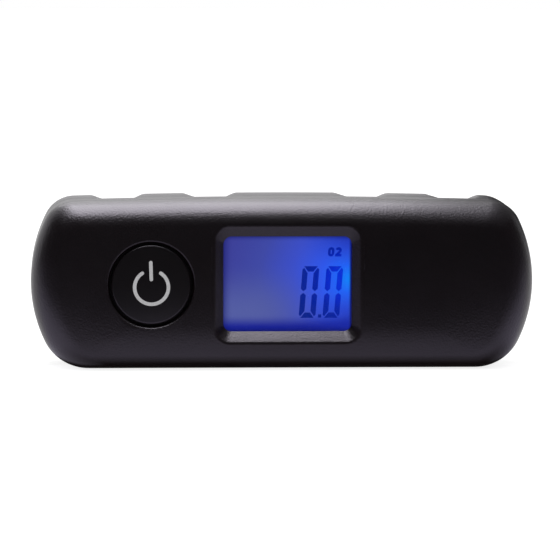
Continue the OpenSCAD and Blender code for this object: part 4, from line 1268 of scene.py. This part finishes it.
class SCALE_OT_inner_parts(Operator):
    """Finishes the parts inside the case and the small hardware that stays as it is"""

    bl_idname = "luggage_scale.inner_parts"
    bl_label = "Inner parts"

    def execute(self, context):
        zinc = zinc_plating(context.scene.scale_colours)
        finishes = {
            "window_gasket": foam("foam_die_cut", "#202022"),
            "light_guide": light_guide(),
            "backlight_led": lit_led(),
            "circuit_board": soldermask(),
            **dict.fromkeys(("board_screws", "load_cell_screws", "eye_washer", "eye_nut"), zinc),
        }
        # A plain white frame, a wet-looking blob, dull nylon for the switch and smooth sleeves on the
        # wires: node, finish, colour, roughness, and the grain's width and depth in mm
        for name, finish, code, roughness, grain, depth in (
            ("lcd_frame", "white_abs_moulded", "#e6e5e1", 0.45, 0.5, 0.01),
            ("controller_blob", "epoxy_cast_black", "#0c0c0d", 0.18, 1.2, 0.02),
            ("switch_body", "nylon_moulded_black", "#17181a", 0.5, 0.4, 0.01),
            ("switch_plunger", "nylon_moulded_grey", "#8f9296", 0.5, 0.4, 0.01),
            ("load_cell_cable", "pvc_extruded_grey", "#77797c", 0.4, 1.5, 0.02),
            ("lead_positive", "pvc_extruded_red", "#b31b1b", 0.4, 1.5, 0.02),
            ("lead_negative", "pvc_extruded_black", "#141414", 0.4, 1.5, 0.02),
        ):
            finishes[name] = moulded_plastic(finish, linear(code), roughness, grain * MM, depth * MM)
        # Pale aluminium cans, a bright cell and warm brown springs: nodes, finish, colour, roughness, and
        # the width of the drawing marks in mm
        for names, finish, code, roughness, grain in (
            (("board_capacitors",), "aluminium_drawn_can", "#c8cacd", 0.28, 0.3),
            (("battery_cell",), "steel_nickel_cell", "#cfcfcb", 0.25, 0.4),
            (("contact_positive", "contact_negative"), "bronze_sprung", "#b08a4c", 0.3, 0.2),
        ):
            metal = plated_metal(finish, linear(code), roughness, grain * MM)
            finishes.update(dict.fromkeys(names, metal))
        # Layers of carbon and clear silicone, cutter marks across the milled beam, and a foil grid on film.
        # The real layers are 0.1 mm apart and the real grid 0.05 mm, so all three are drawn coarser, to
        # show: node, finish, colours, pitch in mm, roughness and metallic
        for name, finish, codes, pitch, roughness, metallic in (
            ("zebra_strip", "silicone_layered", ("#141416", "#8c8f94"), 0.5, 0.6, 0.0),
            ("load_cell", "aluminium_milled", ("#bfc2c6", "#cfd2d6"), 0.8, 0.35, 1.0),
            ("strain_gauges", "foil_etched_on_film", ("#9a6a22", "#d8b36a"), 0.4, 0.4, 0.0),
        ):
            finishes[name] = striped(finish, codes, pitch * MM, roughness, metallic)
        for name, material in finishes.items():
            dress(name, material)
        return {"FINISHED"}


# The camera: its angles about the case, what it looks at, and its focal length in a picture of 560 pixels
CAMERA_UP = math.radians(5.1)
CAMERA_LEFT = math.radians(3.46)
CAMERA_ROLL = math.radians(-0.191)
CAMERA_AIM = Vector((-0.00022, 0, 0.02295))
CAMERA_DISTANCE = 1.0
FOCAL_PIXELS, PICTURE_PIXELS, SENSOR_WIDTH = 3692.5, 560, 36
FLOOR_SIZE = 12
FLAT, UPRIGHT, SIDEWAYS = (0, 0, 0), (math.pi / 2, 0, 0), (math.pi / 2, 0, math.pi / 2)
# An overhead softbox and a dimmer panel behind: name, place, turn, size and power
LIGHTS = (
    ("softbox", (-0.05, 0.015, 0.62), FLAT, (0.42, 0.63), 7.6),
    ("back_panel", (-0.145, 0.6, 0.7), (-math.pi / 2, 0, 0), (0.53, 0.6), 2.4),
)
# The flag under the case: width, length and corner, and its middle
UNDER_SIZE = (0.126, 0.0295, 0.012)
UNDER_PLACE = (0, 0.00255, 0.0004)
# Cards that only reflections see, on the floor in front, round the camera, behind on the right, over the
# right end and at the foot of the case: name, paper, place, turn and size
CARDS = (
    ("flag", "flag_black", (0, -0.3755, 0.001), FLAT, (1.4, 0.649)),
    ("flag", "flag_black", (0, -0.7, 0.6), UPRIGHT, (1.4, 1.2)),
    ("flag", "flag_black", (-0.7, -0.275, 0.6), SIDEWAYS, (0.85, 1.2)),
    ("flag", "flag_black", (0.7, -0.2, 0.6), SIDEWAYS, (1.0, 1.2)),
    ("flag", "flag_black", (0.401, 0.5, 0.225), UPRIGHT, (0.598, 0.35)),
    ("flag", "card_dim", (0.223, 0.124, 0.22), (0, 0, -math.radians(9)), (0.3, 0.8)),
    ("grey_card", "card_grey", (0, -0.0255, 0.0002), FLAT, (1.4, 0.051)),
)
# Light that the floor and the dim card give off
FLOOR_GLOW, DIM_GLOW = 0.8, 0.18
# Light of the grey card in front of the case and beyond its ends, and where each starts and is full
AHEAD_GLOW, AHEAD_Y = 0.8, (-0.013, -0.0193)
ASIDE_GLOW, ASIDE_X, ASIDE_MIDDLE = 1.2, (0.0515, 0.0718), 0.004


def floor_paper():
    # Matt paper sheet: white, lit a little from below, so that it stays white right up to the case
    material, tree, shader, place = new_material("paper_matt", {
        "Roughness": 0.9, "Emission Color": (1, 1, 1, 1), "Emission Strength": FLOOR_GLOW})
    white = tinted(tree, place, linear("#a2a2a2"), grain=40 * MM, spread=0.01)
    tree.links.new(white, shader.inputs["Base Color"])
    return material


def fading_glow(tree, place):
    """Strength of the grey card's light: it dims towards the case, whose lower edge then darkens softly."""
    axes = add(tree, "ShaderNodeSeparateXYZ", {0: place})
    ahead = add(tree, "ShaderNodeMapRange", {
        0: axes.outputs["Y"], 1: AHEAD_Y[0], 2: AHEAD_Y[1], 4: AHEAD_GLOW})
    aside = add(tree, "ShaderNodeMath", {0: axes.outputs["X"], 1: ASIDE_MIDDLE}, operation="SUBTRACT")
    aside = add(tree, "ShaderNodeMath", {0: aside.outputs[0]}, operation="ABSOLUTE")
    aside = add(tree, "ShaderNodeMapRange", {
        0: aside.outputs[0], 1: ASIDE_X[0], 2: ASIDE_X[1], 4: ASIDE_GLOW})
    glow = add(tree, "ShaderNodeMath", {0: ahead.outputs[0], 1: aside.outputs[0]}, operation="MAXIMUM")
    return glow.outputs[0]


def card_paper(name, finish, fades=False):
    # Black dyed card: a dark field in the gloss, or a faint light one where it gives off light
    material, tree, shader, place = new_material(name, finish)
    black = tinted(tree, place, linear("#050505"), grain=80 * MM, spread=0.1)
    tree.links.new(black, shader.inputs["Base Color"])
    if fades:
        tree.links.new(fading_glow(tree, place), shader.inputs["Emission Strength"])
    return material


class SCALE_OT_stage(Operator):
    """Sets the floor, the soft light and the camera"""

    bl_idname = "luggage_scale.stage"
    bl_label = "Stage"

    def execute(self, context):
        scene = context.scene
        scene.view_settings.view_transform = "Standard"
        world = bpy.data.worlds.new("studio")
        world.use_nodes = True
        background = world.node_tree.nodes["Background"]
        background.inputs["Color"].default_value = (1, 1, 1, 1)
        background.inputs["Strength"].default_value = 1.0
        scene.world = world

        bpy.ops.object.select_all(action="DESELECT")
        bpy.ops.mesh.primitive_plane_add(size=FLOOR_SIZE)
        floor = new_piece("floor")
        floor.data.materials.append(floor_paper())

        # The lamps serve reflections only: the paper lights the rest
        for name, location, rotation, size, energy in LIGHTS:
            light = bpy.data.lights.new(name, "AREA")
            light.shape = "RECTANGLE"
            light.size, light.size_y = size
            light.energy = energy
            lamp = bpy.data.objects.new(name, light)
            lamp.location = location
            lamp.rotation_euler = rotation
            lamp.visible_diffuse = False
            scene.collection.objects.link(lamp)

        papers = {
            "flag_black": card_paper("flag_black", {"Roughness": 1.0}),
            "card_dim": card_paper("card_dim", {
                "Emission Color": (1, 1, 1, 1), "Emission Strength": DIM_GLOW}),
            "card_grey": card_paper("card_grey", {"Emission Color": rgba(linear("#f0edff"))}, fades=True),
        }
        under = plate("flag", rounded_rectangle(*UNDER_SIZE), 0, -HAIR)
        under.rotation_euler = UPRIGHT
        under.location = UNDER_PLACE
        under.data.materials.append(papers["flag_black"])
        cards = [under]
        for name, paper, location, rotation, size in CARDS:
            bpy.ops.object.select_all(action="DESELECT")
            bpy.ops.mesh.primitive_plane_add(size=1, location=location, rotation=rotation)
            card = new_piece(name)
            card.scale = (*size, 1)
            bpy.ops.object.transform_apply()
            card.data.materials.append(papers[paper])
            cards.append(card)
        for card in cards:
            card.visible_camera = False
            card.visible_diffuse = False
            card.visible_shadow = False

        back = Vector((
            -math.sin(CAMERA_LEFT) * math.cos(CAMERA_UP),
            -math.cos(CAMERA_LEFT) * math.cos(CAMERA_UP),
            math.sin(CAMERA_UP),
        ))
        right = Vector((math.cos(CAMERA_LEFT), -math.sin(CAMERA_LEFT), 0))
        up = back.cross(right)
        side = right * math.cos(CAMERA_ROLL) - up * math.sin(CAMERA_ROLL)
        top = right * math.sin(CAMERA_ROLL) + up * math.cos(CAMERA_ROLL)
        data = bpy.data.cameras.new("photo_camera")
        data.sensor_width = SENSOR_WIDTH
        data.lens = FOCAL_PIXELS / PICTURE_PIXELS * SENSOR_WIDTH
        camera = bpy.data.objects.new("photo_camera", data)
        turn_to = Matrix((side, top, back)).transposed().to_4x4()
        camera.matrix_world = Matrix.Translation(CAMERA_AIM + back * CAMERA_DISTANCE) @ turn_to
        scene.collection.objects.link(camera)
        scene.camera = camera
        return {"FINISHED"}


class SCALE_PT_looks(Panel):
    """Lists the pieces that can be modelled"""

    bl_idname = "SCALE_PT_looks"
    bl_label = "Luggage scale"
    bl_space_type = "VIEW_3D"
    bl_region_type = "UI"
    bl_category = "Scale"

    def draw(self, context):
        for operator in OPERATORS:
            self.layout.operator(operator.bl_idname)


SETTINGS = {
    "scale_shell": ShellSizes,
    "scale_display": DisplaySizes,
    "scale_button": ButtonSizes,
    "scale_hardware": HardwareSizes,
    "scale_colours": FinishColours,
}
OPERATORS = (
    SCALE_OT_front_shell,
    SCALE_OT_rear_shell,
    SCALE_OT_display,
    SCALE_OT_power_button,
    SCALE_OT_strap_hardware,
    SCALE_OT_battery_door,
    SCALE_OT_case_screws,
    SCALE_OT_inner_parts,
    SCALE_OT_stage,
)


def register():
    for kind in (*SETTINGS.values(), *OPERATORS, SCALE_PT_looks):
        bpy.utils.register_class(kind)
    for name, kind in SETTINGS.items():
        setattr(bpy.types.Scene, name, PointerProperty(type=kind))


def unregister():
    for name in SETTINGS:
        delattr(bpy.types.Scene, name)
    for kind in (*SETTINGS.values(), *OPERATORS, SCALE_PT_looks):
        bpy.utils.unregister_class(kind)


def main():
    register()
    for operator in OPERATORS:
        group, name = operator.bl_idname.split(".")
        getattr(getattr(bpy.ops, group), name)()


if __name__ == "__main__":
    main()
